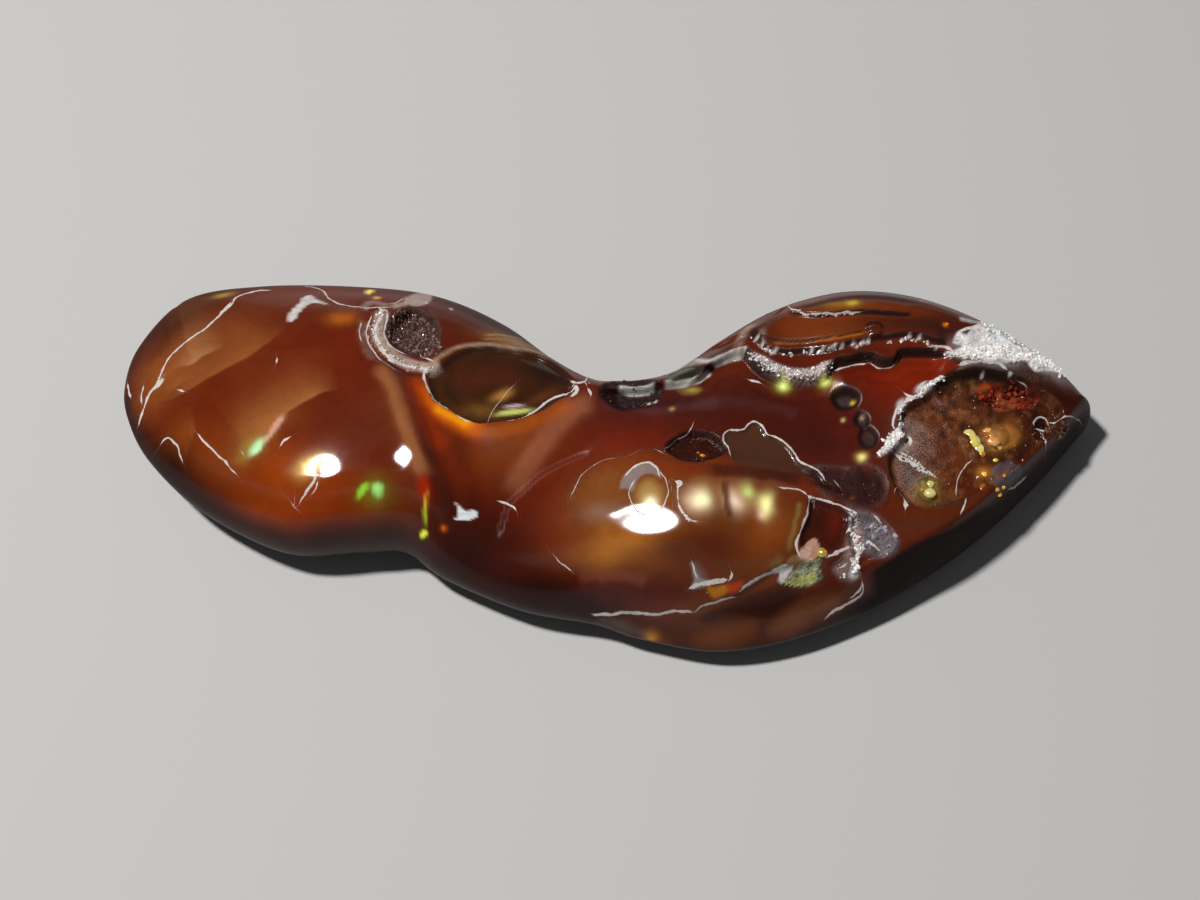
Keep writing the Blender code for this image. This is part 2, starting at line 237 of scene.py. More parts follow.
def finder(heights):
    """Makes a function that finds, in plan, the point of the crown that the camera sees at (across, down)."""
    points = np.stack([X, Y, heights], axis=-1)
    seen = (facing_of(points) * (eye - points)).sum(axis=-1) > 0
    places, views = points[seen], seen_at(points[seen])
    tree = kdtree.KDTree(len(places))
    for i, (across_view, down_view) in enumerate(views):
        tree.insert((across_view, down_view, 0), i)
    tree.balance()

    def place(across_view, down_view):
        """The mean of the four nearest points, each counting for more the nearer it is."""
        found = tree.find_n((across_view, down_view, 0), 4)
        weights = np.array([1 / (0.1 + distance) ** 2 for _, _, distance in found])
        near = places[[index for _, index, _ in found]]
        return tuple((near * weights[:, None]).sum(axis=0)[:2] / weights.sum())

    return place


place = finder(uncut)


def on_stone(view_points):
    """Carries a list of (across, down) in the camera's view to the crown in plan."""
    return [place(*point) for point in view_points]


# Random values on a square lattice, blended between its points. The shifts keep lumps of one seed or
# octave from lying over those of another.
CELLS = 64
LATTICE = np.random.default_rng(11).random((CELLS, CELLS))
SEED_SHIFT = (7.3, 5.9)
OCTAVE_SHIFT = (3.1, 8.7)


def mottle(size, seed, octaves=1):
    """Smooth random values from -1 to 1 over the crown, with lumps of this size, then finer ones."""
    total, weight, whole = 0.0, 1.0, 0.0
    for octave in range(octaves):
        u = X / size * 2**octave + SEED_SHIFT[0] * seed + OCTAVE_SHIFT[0] * octave
        v = Y / size * 2**octave + SEED_SHIFT[1] * seed + OCTAVE_SHIFT[1] * octave
        i, j = np.floor(u).astype(int), np.floor(v).astype(int)
        f, g = smooth_step(u - i), smooth_step(v - j)
        corners = [LATTICE[(i + right) % CELLS, (j + up) % CELLS] for up in (0, 1) for right in (0, 1)]
        near = corners[0] * (1 - f) + corners[1] * f
        far = corners[2] * (1 - f) + corners[3] * f
        total = total + weight * (2 * (near * (1 - g) + far * g) - 1)
        whole += weight
        weight /= 2
    return total / whole


# The distance given to points that are too far from an outline or a line to be measured.
FAR = 9.0


def near_and_moved(curve, reach, lumps, wander):
    """Which of the crown's points are within reach of a curve, and their places, moved about a little."""
    low, high = curve[:, :2].min(axis=0) - reach, curve[:, :2].max(axis=0) + reach
    near = (X > low[0]) & (X < high[0]) & (Y > low[1]) & (Y < high[1])
    x = X[near] + wander * mottle(lumps, 3, 2)[near]
    y = Y[near] + wander * mottle(lumps, 5, 2)[near]
    return near, x, y


def within(view_points):
    """How far inside a closed outline each point of the crown is, and less than nothing outside it."""
    curve = smooth_curve(on_stone(view_points), closed=True)
    near, x, y = near_and_moved(curve, 2.0, 0.7, 0.05)
    gap = nearest_on(curve, True, x, y)[0]
    inside = np.zeros(x.shape, bool)
    for (ax, ay), (bx, by) in zip(curve, np.roll(curve, -1, axis=0)):
        if ay != by:
            inside ^= ((ay > y) != (by > y)) & (x < ax + (y - ay) * (bx - ax) / (by - ay))
    depth = np.full(X.shape, -FAR)
    depth[near] = np.where(inside, gap, -gap)
    return depth


def beside(view_points, reach, wander=0.0):
    """How far off a line each point of the crown is (above 0 to its left), and how far from its ends."""
    curve = smooth_curve(on_stone(view_points))
    near, x, y = near_and_moved(curve, reach, 0.5, wander)
    gap, side, along, length, _ = nearest_on(curve, False, x, y)
    off, end = np.full(X.shape, FAR), np.zeros(X.shape)
    off[near] = gap * side
    end[near] = np.minimum(along, length - along)
    return off, end


# ----------------------------------------------------------------------------------------------------
# The cuts in the crown: where the polishing wheel has gone through a layer, and where the stone has broken.
# Each is a closed outline with a wall down from it, and a floor that may swell in its middle and be lumpy.

# Depth, width of wall, swell of the floor, how far in the floor swells, its roughness, and the outline.
HOLLOWS = {
    "almond_eye": (0.45, 0.22, 0.10, 1.7, 0.0, [
        (425, 370), (428, 385), (432, 397), (445, 407), (460, 416), (475, 422), (490, 423), (515, 420),
        (540, 412), (555, 403), (570, 394), (575, 384), (571, 376), (560, 366), (540, 355), (520, 349),
        (497, 345), (475, 346), (460, 350), (447, 358), (436, 368),
    ]),
    "druse_pit": (0.80, 0.45, 0.0, 1.0, 0.10, [
        (385, 334), (388, 322), (397, 312), (410, 307), (424, 309), (436, 318), (441, 331), (438, 345),
        (430, 355), (418, 357), (404, 353), (392, 346),
    ]),
    "notch": (0.42, 0.60, 0.0, 1.0, 0.12, [
        (598, 394), (604, 383), (616, 379), (632, 381), (648, 379), (660, 385), (662, 396), (655, 406),
        (640, 409), (622, 411), (608, 405),
    ]),
    "olive_lens": (0.35, 0.20, 0.15, 0.8, 0.0, [
        (664, 377), (668, 370), (680, 366), (694, 364), (703, 369), (697, 378), (686, 384), (673, 385),
    ]),
    "dark_pit": (0.55, 0.35, 0.0, 1.0, 0.12, [
        (664, 448), (670, 438), (682, 431), (697, 429), (712, 431), (722, 438), (729, 448), (722, 456),
        (705, 461), (688, 461), (673, 457),
    ]),
    "cloud": (0.14, 0.14, 0.04, 1.0, 0.0, [
        (731, 457), (728, 448), (723, 440), (724, 433), (731, 430), (744, 430), (748, 425), (756, 422),
        (763, 427), (767, 434), (778, 438), (788, 445), (795, 453), (800, 462), (809, 467), (822, 473),
        (810, 476), (785, 471), (760, 467), (742, 464),
    ]),
    "pan": (0.70, 0.40, 0.30, 2.2, 0.025, [
        (935, 380), (925, 391), (914, 398), (903, 405), (897, 415), (896, 425), (901, 434), (893, 445),
        (886, 458), (888, 475), (895, 490), (908, 503), (925, 510), (945, 507), (965, 500), (985, 490),
        (1005, 478), (1025, 463), (1045, 444), (1058, 430), (1064, 415), (1058, 400), (1045, 390),
        (1025, 378), (1000, 370), (975, 367), (953, 371),
    ]),
    "vug": (0.40, 0.35, 0.0, 1.0, 0.16, [
        (977, 396), (984, 386), (997, 381), (1013, 379), (1028, 383), (1040, 392), (1036, 404), (1020, 409),
        (1003, 410), (988, 406),
    ]),
    "rubble": (0.12, 0.40, 0.0, 1.0, 0.13, [
        (808, 474), (826, 467), (848, 467), (868, 463), (885, 474), (888, 490), (874, 505), (850, 502),
        (826, 492),
    ]),
    "broken_patch": (0.40, 0.30, 0.0, 1.0, 0.12, [
        (851, 516), (862, 513), (876, 516), (890, 526), (896, 542), (888, 556), (873, 562), (860, 566),
        (852, 555), (846, 538),
    ]),
    "dark_facet": (0.40, 0.25, 0.0, 1.0, 0.02, [
        (809, 499), (822, 500), (836, 506), (850, 513), (848, 530), (840, 546), (826, 557), (808, 553),
        (800, 546), (801, 530), (807, 514),
    ]),
    "ring_pit_back": (0.35, 0.35, 0.0, 1.0, 0.03, [
        (830, 398), (833, 389), (843, 385), (853, 387), (861, 395), (858, 406), (848, 411), (836, 409),
    ]),
    "ring_pit_middle": (0.25, 0.25, 0.0, 1.0, 0.03, [
        (853, 420), (858, 411), (868, 414), (871, 422), (866, 429), (857, 428),
    ]),
    "ring_pit_front": (0.28, 0.25, 0.0, 1.0, 0.03, [
        (857, 433), (863, 426), (873, 427), (879, 436), (876, 446), (867, 449), (859, 443),
    ]),
    "white_crust": (-0.10, 0.30, 0.0, 1.0, 0.10, [
        (944, 352), (950, 338), (965, 326), (983, 320), (1003, 323), (1022, 334), (1040, 345), (1055, 357),
        (1064, 370), (1060, 378), (1046, 374), (1028, 368), (1010, 366), (992, 366), (972, 365), (955, 362),
    ]),
    "tip_pit": (0.30, 0.15, 0.0, 1.0, 0.0, [
        (1035, 424), (1037, 418), (1042, 417), (1047, 420), (1048, 426), (1043, 430), (1037, 429),
    ]),
}
FLOOR_LUMPS = 0.45

# Edges where one layer ends above the next: rise of the left side over the right, width, reach and line.
LEDGES = {
    "lobe_edge": (-0.70, 1.30, 2.2, [
        (388, 352), (400, 378), (411, 402), (422, 430), (433, 463), (444, 493), (447, 528),
    ]),
    "front_shelf": (0.50, 0.20, 1.5, [
        (590, 618), (605, 615), (620, 613), (640, 612), (655, 615), (675, 610), (693, 611), (705, 606),
        (720, 600), (735, 597), (745, 590), (760, 580), (775, 570), (792, 566), (820, 562), (850, 560),
    ]),
    "dome_edge": (-0.35, 0.25, 1.3, [
        (566, 510), (572, 492), (580, 477), (590, 467), (600, 461), (614, 458), (628, 456), (640, 450),
        (652, 449), (668, 454),
    ]),
    "dome_valley": (-0.30, 0.35, 1.0, [
        (660, 462), (700, 464), (740, 468), (780, 475), (820, 485), (850, 494),
    ]),
    "terrace_lip": (0.75, 0.25, 1.3, [
        (600, 388), (625, 388), (645, 387), (665, 385), (690, 382), (700, 376), (712, 366), (728, 357),
        (745, 352), (755, 364), (768, 374), (782, 379), (800, 381), (820, 379), (830, 368), (838, 361),
        (850, 360), (863, 356), (873, 357), (882, 362), (893, 361), (902, 352), (925, 352), (950, 355),
    ]),
    "terrace_step": (0.35, 0.20, 0.9, [
        (700, 356), (720, 346), (735, 339), (750, 335), (762, 345), (775, 351), (800, 352), (830, 350),
        (850, 344), (868, 341), (890, 338), (915, 337), (950, 349),
    ]),
    "terrace_fine_step": (0.22, 0.15, 0.6, [
        (742, 331), (760, 337), (780, 342), (805, 342), (830, 339), (850, 336), (868, 332), (890, 332),
    ]),
    "terrace_back_step": (0.35, 0.20, 0.8, [
        (775, 298), (785, 305), (795, 312), (812, 315), (835, 314), (862, 312), (890, 314), (920, 316),
    ]),
    "back_left_rim": (-0.25, 0.25, 0.9, [
        (365, 300), (362, 316), (361, 334), (368, 350), (380, 361), (398, 370), (418, 377), (428, 390),
    ]),
}

# How many times its reach a slope that dies away is followed.
FOLLOWED = 2.5

depth_of_cut = np.zeros_like(X)
for depth, wall, swell, reach, rough, view_points in HOLLOWS.values():
    deep = np.maximum(within(view_points), 0)
    floor = depth - swell * smooth_step(deep / reach) + rough * mottle(FLOOR_LUMPS, 2, 3)
    depth_of_cut += smooth_step(deep / wall) * floor
for rise, width, reach, view_points in LEDGES.values():
    off, end = beside(view_points, FOLLOWED * reach, 0.04)
    step = smooth_step(off / width + 0.5) - 0.5
    depth_of_cut -= rise * step * np.exp(-((off / reach) ** 2)) * smooth_step(end)

# Small round beads of the iron-stained layer that were left standing: place, radius and height.
BEADS = {
    "gold_bead_in_pan": ((928, 490), 0.45, 0.25),
    "gold_bead_behind_it": ((925, 481), 0.30, 0.15),
    "caterpillar_top": ((967, 436), 0.30, 0.20),
    "caterpillar_middle": ((971, 443), 0.32, 0.22),
    "caterpillar_end": ((977, 451), 0.28, 0.18),
    "gold_lump_left": ((988, 437), 0.45, 0.28),
    "gold_lump_right": ((1000, 433), 0.55, 0.30),
    "amber_lump": ((1012, 432), 0.80, 0.12),
    "gold_bead_by_facet": ((983, 474), 0.25, 0.15),
    "brown_bead": ((950, 420), 0.30, 0.12),
    "gold_ball_in_break": ((822, 552), 0.26, 0.26),
    "ledge_nub": ((874, 331), 0.45, 0.18),
}
for view_point, radius, height in BEADS.values():
    cx, cy = place(*view_point)
    depth_of_cut -= height * quarter_round(1 - np.hypot(X - cx, Y - cy) / radius)

# Towards the outline every cut runs out over this far.
RUN_OUT = 0.6
Z = girdle + (crown_domes(X, Y) - depth_of_cut * smooth_step(edge_gap / RUN_OUT) - girdle) * rounding


def height_at(x, y):
    """The height of the crown at a place in plan."""
    return Z.ravel()[np.argmin(np.hypot(X - x, Y - y))]


# Small flats that buffing has left on the tops of the domes, turned to throw the lamp's light to the camera:
# place, half length and half width. Each lies deeper than the dome's top, by a share of its half length.
FLATS = {
    "dome_top": ((655, 521), 2.30, 1.25),
    "lobe_left": ((328, 468), 0.68, 0.60),
    "lobe_right": ((402, 458), 1.02, 0.80),
}
SUNK = 0.04
LAMP_AT = np.array([-108.0, 15.0, 286.0])
for view_point, long, wide in FLATS.values():
    flat_x, flat_y = place(*view_point)
    flat_z = height_at(flat_x, flat_y)
    to_lamp, to_camera = (there - (flat_x, flat_y, flat_z) for there in (LAMP_AT, eye))
    halfway = to_lamp / np.linalg.norm(to_lamp) + to_camera / np.linalg.norm(to_camera)
    flat = flat_z - SUNK * long - ((X - flat_x) * halfway[0] + (Y - flat_y) * halfway[1]) / halfway[2]
    Z += (flat - Z) * np.exp(-((((X - flat_x) / long) ** 2 + ((Y - flat_y) / wide) ** 2) ** 2))
place = finder(Z)

# The valley of the neck, between the lobe and the dome, ends in a fold instead of a rounded floor.
FOLD = [
    (490, 562), (496, 545), (503, 522), (509, 503), (525, 488), (542, 474), (565, 461), (590, 452),
    (612, 446),
]
FOLD_DEPTH = 0.12
FOLD_WIDTH = 0.40
FOLD_RUN_OUT = 2.4
crease, crease_end = beside(FOLD, 2.2)
Z -= FOLD_DEPTH * np.exp(-np.abs(crease) / FOLD_WIDTH) * smooth_step(crease_end / FOLD_RUN_OUT)


# ----------------------------------------------------------------------------------------------------
# Its colour: brown chalcedony, clear enough to glow amber where a layer is thin, over layers of iron oxide.
# The washes are laid one over another, from those deep in the stone to the crisp edges that polishing bares.
def linear(colour):
    """An sRGB hex colour as linear light."""
    parts = np.array([int(colour[i : i + 2], 16) / 255 for i in (1, 3, 5)])
    return np.where(parts <= 0.04045, parts / 12.92, ((parts + 0.055) / 1.055) ** 2.4)


# The stain of every point of the crown, how dull and how gritty it is, and how much painted glow
# it is given.
stain = np.zeros((*X.shape, 3)) + linear("#5C2010")
roughness = np.full(X.shape, 0.13)
grit = np.zeros(X.shape)
painted_glow = np.zeros(X.shape)


def bring(values, goal, mask):
    """Brings values on the crown to a goal, as far as the mask says."""
    values += (goal - values) * mask


def lay(colour, mask):
    """Lays a wash of colour over the stone, as strongly as the mask says."""
    bring(stain, linear(colour), np.clip(mask, 0, 1)[..., None])


def spot(centre, long, wide, turn, flat):
    """An oval that is 1 in its middle and dies away outwards, the more suddenly the flatter it is."""
    cx, cy = place(*centre)
    c, s = math.cos(math.radians(turn)), math.sin(math.radians(turn))
    wander, lumps = 0.3 * wide, 1.3 * wide + 0.2
    dx = X - cx + wander * mottle(lumps, 1, 2)
    dy = Y - cy + wander * mottle(lumps, 4, 2)
    return np.exp(-((((dx * c + dy * s) / long) ** 2 + ((dy * c - dx * s) / wide) ** 2) ** flat))


def wash(colour, middle, long, wide, turn, flat, strength):
    """Lays an oval wash of colour, and gives its mask."""
    mask = strength * spot(middle, long, wide, turn, flat)
    lay(colour, mask)
    return mask


# Broad washes: colour, middle, half length, half width, turn, how suddenly it ends and strength.
WASHES = {
    "lobe": ("#651F06", (265, 400), 8.0, 7.6, 0, 2, 1.0),
    "lobe_back": ("#6A2A10", (250, 303), 6.5, 1.6, 2, 1, 0.7),
    "lobe_back_left": ("#310E05", (175, 325), 3.4, 1.3, 48, 1, 0.85),
    "lobe_tan_end": ("#965224", (160, 375), 2.6, 1.4, 58, 1, 0.75),
    "lobe_tan_shoulder": ("#743416", (235, 340), 3.4, 2.0, 32, 1, 0.55),
    "lobe_red_back": ("#68200B", (330, 350), 2.4, 2.2, 0, 1, 0.8),
    "lobe_amber_back": ("#B8641A", (344, 318), 0.8, 0.5, 0, 1, 0.8),
    "lobe_plum": ("#5C220F", (360, 412), 3.0, 1.9, -15, 1, 0.75),
    "lobe_tan_middle": ("#9C5F2B", (258, 424), 2.0, 1.2, 35, 1, 0.6),
    "lobe_front_glow": ("#983A0A", (300, 505), 5.6, 1.3, 2, 1, 0.8),
    "lobe_front_left": ("#944310", (205, 455), 2.6, 1.5, -40, 1, 0.5),
    "lobe_front_amber": ("#9D4108", (283, 468), 2.0, 1.3, 10, 1, 0.6),
    # Painted shade: the lower left flank darkened nearly to black, over the thick stone's own dark colour.
    "left_flank_shade": ("#0D0302", (165, 470), 4.6, 1.2, -42, 1, 0.92),
    "neck": ("#621D06", (495, 460), 4.0, 3.8, 0, 2, 1.0),
    "neck_tan": ("#803E0E", (520, 435), 2.4, 1.5, 25, 1, 0.8),
    "neck_red_edge": ("#601D0A", (455, 470), 1.2, 2.4, 10, 1, 0.5),
    # Painted shade: the low front of the neck, which slopes away from the light, darkened in two washes.
    "neck_front_shade": ("#3A0E07", (500, 540), 4.2, 1.8, -28, 1, 0.85),
    "neck_low_shade": ("#2C140F", (470, 560), 3.2, 1.3, -30, 1, 0.8),
    "saddle_red": ("#641F0E", (600, 430), 3.6, 2.2, 0, 1, 0.75),
    "saddle_ember": ("#731E0D", (628, 440), 1.9, 0.7, 12, 1, 0.6),
    "haze": ("#38181A", (690, 404), 5.6, 0.9, 2, 1, 0.8),
    "middle_red": ("#441309", (790, 420), 5.2, 2.6, 0, 1, 0.9),
    "middle_plum": ("#3A1412", (820, 440), 2.6, 1.4, 0, 1, 0.6),
    "dome": ("#7A3F18", (690, 522), 6.8, 3.9, 0, 3, 1.0),
    "dome_back": ("#7C2C0C", (720, 470), 6.0, 0.9, -4, 1, 0.85),
    "dome_left": ("#864E22", (600, 490), 1.8, 1.2, 50, 1, 0.7),
    "dome_amber": ("#BE7426", (622, 548), 2.3, 1.0, 0, 1, 0.9),
    "dome_low_left": ("#6E230D", (565, 535), 1.6, 1.3, 0, 1, 0.6),
    "dome_plum": ("#50190C", (705, 550), 3.4, 1.3, 4, 1, 0.8),
    "dome_right": ("#8D4617", (772, 530), 1.5, 1.7, 0, 1, 0.7),
    "dome_foot": ("#4A0A03", (640, 590), 4.6, 0.9, -4, 1, 0.9),
    "foot_ember": ("#550400", (590, 585), 1.6, 0.4, -20, 1, 0.6),
    # Painted shade along the front edge, left of the shelf, darkened nearly to black.
    "front_foot_shade": ("#140604", (560, 607), 3.8, 1.0, -14, 1, 0.92),
    "orange_smooth": ("#7C1D06", (915, 375), 3.2, 1.3, 10, 1, 0.95),
    "orange_left": ("#621202", (850, 368), 2.2, 0.8, 0, 1, 0.7),
    "terrace_back": ("#763210", (820, 322), 4.0, 1.3, 0, 1, 0.9),
    "terrace_left": ("#50200C", (745, 335), 1.7, 0.9, 35, 1, 0.7),
    # Painted shade: a dark wash over the back of the terraces.
    "terrace_back_shade": ("#341811", (930, 325), 3.2, 0.8, -4, 1, 0.85),
    "terrace_olive": ("#4A1A08", (836, 350), 3.4, 0.42, -3, 1, 0.8),
    "back_plum": ("#080303", (900, 295), 3.2, 0.35, -3, 1, 0.8),
    "back_orange": ("#76300E", (893, 307), 2.0, 0.35, -2, 1, 0.85),
    "back_gold": ("#A8781C", (838, 304), 1.1, 0.35, 0, 1, 0.8),
    "back_left_brown": ("#2A0802", (500, 325), 3.6, 1.1, -22, 1, 0.9),
    "back_left_tan": ("#8F6428", (515, 342), 1.8, 0.45, -12, 1, 0.75),
    "tip": ("#330C05", (1056, 408), 2.2, 2.0, 0, 1, 0.95),
    "right_foot": ("#522818", (930, 515), 2.8, 0.8, 22, 1, 0.85),
}
for broad_wash in WASHES.values():
    wash(*broad_wash)


def margin(width, fade, wander=0.0):
    """1 along the stone's outline and nothing from this width inwards, with a fade between."""
    return smooth_step((width - edge_gap + wander * mottle(2.5, 9, 2)) / fade)


# The flanks, in front of a line along the stone's middle and behind it, are darkened: the stone is
# thickest there and nothing shines through it, and the rest is painted shade where they turn from the light.
MIDDLE_LINE = [(-26, 4), (-14, 2.5), (-2, -2), (12, -1), (26, 2.8)]
front_side = smooth_step(0.5 - (Y - np.interp(X, *zip(*MIDDLE_LINE))) / 2.0)
lay("#2A120E", 0.90 * margin(1.0, 0.9, 0.25) * front_side)
lay("#3C1B10", 0.60 * margin(0.8, 0.8) * (1 - front_side))

# Where one layer ends over the next: colour to the line's left, how far it reaches, strength and line.
LAYER_EDGES = {
    "upper_lobe": ("#A2622F", 2.2, 0.55, [
        (150, 404), (164, 401), (178, 396), (195, 386), (215, 374), (235, 364), (255, 352), (275, 336),
        (290, 322),
    ]),
    "upper_lobe_patch": ("#BE8455", 1.6, 0.75, [
        (165, 371), (178, 367), (192, 364), (203, 356), (215, 350), (232, 343),
    ]),
    "upper_lobe_end": ("#A8642C", 0.8, 0.5, [(165, 402), (172, 391), (180, 384), (195, 377)]),
    "middle_lobe": ("#B06E3C", 1.1, 0.70, [
        (236, 466), (252, 455), (264, 443), (275, 428), (288, 412), (303, 402), (322, 393), (342, 389),
    ]),
    "lower_lobe_left": ("#94501F", 1.6, 0.5, [(184, 472), (188, 450), (195, 430), (192, 412), (186, 400)]),
    "shoulder_right": ("#7E3E20", 1.0, 0.35, [
        (432, 530), (425, 500), (412, 468), (398, 430), (388, 402), (378, 375),
    ]),
    "neck_fold": ("#7C3B1C", 2.2, 0.45, [
        (497, 515), (510, 492), (524, 470), (538, 450), (552, 433), (568, 418), (590, 402), (612, 396),
    ]),
    "orange_edge": ("#8E2C0C", 0.9, 0.4, [
        (975, 352), (950, 358), (925, 356), (902, 356), (880, 366), (860, 372),
    ]),
    "terrace_orange": ("#8E4A20", 0.6, 0.35, [(775, 343), (805, 343), (835, 340), (866, 334)]),
    "terrace_step": ("#7A3B1D", 0.6, 0.5, [(785, 305), (795, 312), (815, 316), (840, 315), (866, 313)]),
}
EDGE_SOFT = 0.15
for colour, reach, strength, line in LAYER_EDGES.values():
    off, end = beside(line, FOLLOWED * reach, 0.05)
    fading = np.exp(-np.maximum(off, 0) / reach) * smooth_step(end / (0.6 + reach))
    lay(colour, strength * smooth_step(off / EDGE_SOFT + 0.5) * fading)


def stripe(line, half, fade, reach, wander, run_out):
    """A band along a line: 1 up to this half width, fading beside it and running out at its ends."""
    off, end = beside(line, reach, wander)
    return np.exp(-((np.maximum(np.abs(off) - half, 0) / fade) ** 2)) * smooth_step(end / run_out)


# Soft bands: colour, half width, how far it fades, strength and centre line.
BANDS = {
    "lobe_crease": ("#9B6039", 0.17, 0.26, 0.85, [
        (371, 366), (383, 373), (393, 387), (399, 404), (406, 426), (413, 447), (421, 468), (428, 482),
    ]),
    "neck_fold_pale": ("#96593C", 0.22, 0.35, 0.65, [
        (600, 398), (585, 404), (570, 413), (556, 427), (543, 443), (531, 459), (519, 477), (506, 498),
    ]),
    "ember_at_eye": ("#C8580A", 0.12, 0.38, 0.95, [
        (419, 374), (423, 390), (433, 404), (448, 416), (466, 425), (490, 430),
    ]),
    "ember_core": ("#F0960C", 0.05, 0.20, 0.90, [(432, 404), (445, 413), (460, 421), (478, 426)]),
    "ember_under_eye": ("#B25410", 0.08, 0.36, 0.55, [
        (460, 426), (485, 431), (512, 429), (535, 421), (555, 411), (575, 400),
    ]),
    "ember_column": ("#8E2C08", 0.15, 0.45, 0.7, [
        (414, 374), (415, 390), (420, 410), (432, 434), (452, 452),
    ]),
    "red_streak": ("#A5200A", 0.10, 0.20, 0.75, [(421, 470), (424, 488), (427, 505)]),
    "lobe_pink_edge": ("#D9A48C", 0.07, 0.10, 0.8, [(262, 445), (270, 434), (277, 424), (286, 413)]),
    "green_dome_edge": ("#8C7E3A", 0.02, 0.10, 0.55, [(799, 500), (797, 515), (793, 532), (787, 552)]),
    "dome_green_edge_foot": ("#7A6A35", 0.06, 0.15, 0.6, [(783, 552), (777, 563), (768, 572)]),
    "dome_foot_sheen": ("#8A4A34", 0.05, 0.20, 0.5, [(575, 577), (600, 575), (625, 577), (650, 583)]),
    "terrace_orange_line": ("#B06018", 0.02, 0.08, 0.8, [
        (772, 342), (800, 341), (830, 338), (855, 335), (867, 331),
    ]),
    "terrace_pink_line": ("#A88676", 0.02, 0.06, 0.5, [
        (868, 357), (878, 361), (888, 362), (897, 356), (905, 351),
    ]),
    "back_rim": ("#8C6450", 0.08, 0.15, 0.7, [(585, 377), (610, 380), (640, 382), (660, 376), (690, 362)]),
    "terrace_left_streak": ("#B08A78", 0.10, 0.15, 0.6, [(735, 352), (740, 340), (748, 328), (757, 322)]),
    "terrace_left_streak_low": ("#A87E6A", 0.06, 0.15, 0.5, [(757, 345), (760, 336), (764, 326)]),
    "haze_streak": ("#6B474A", 0.05, 0.25, 0.2, [(600, 404), (625, 408), (655, 411), (690, 406), (720, 403)]),
    "haze_streak_right": ("#5E3B3E", 0.05, 0.30, 0.2, [(690, 404), (730, 401), (775, 408), (800, 416)]),
    "dome_dark_ring": ("#34180F", 0.20, 0.30, 0.7, [(700, 468), (740, 471), (780, 476), (810, 484)]),
    "gold_fibre_back": ("#B08C48", 0.03, 0.05, 0.7, [(484, 335), (498, 335), (513, 337), (526, 341)]),
    "gold_fibre_middle": ("#A07A3C", 0.03, 0.05, 0.6, [(480, 339), (500, 339), (520, 342), (540, 349)]),
    "gold_fibre_front": ("#8C6A44", 0.04, 0.08, 0.6, [(500, 343), (524, 345), (546, 352), (560, 360)]),
    "pan_rim_shade": ("#1E0E08", 0.05, 0.12, 0.8, [
        (948, 383), (936, 387), (930, 396), (919, 403), (909, 407), (906, 415), (906, 425), (902, 437),
        (893, 448),
    ]),
    "dome_pale_ring": ("#7B4A30", 0.05, 0.12, 0.5, [(690, 478), (730, 480), (770, 483), (800, 490)]),
}
for colour, half, fade, strength, line in BANDS.values():
    lay(colour, strength * stripe(line, half, fade, 2 * (half + fade), 0.08, 0.2 + 4 * half))

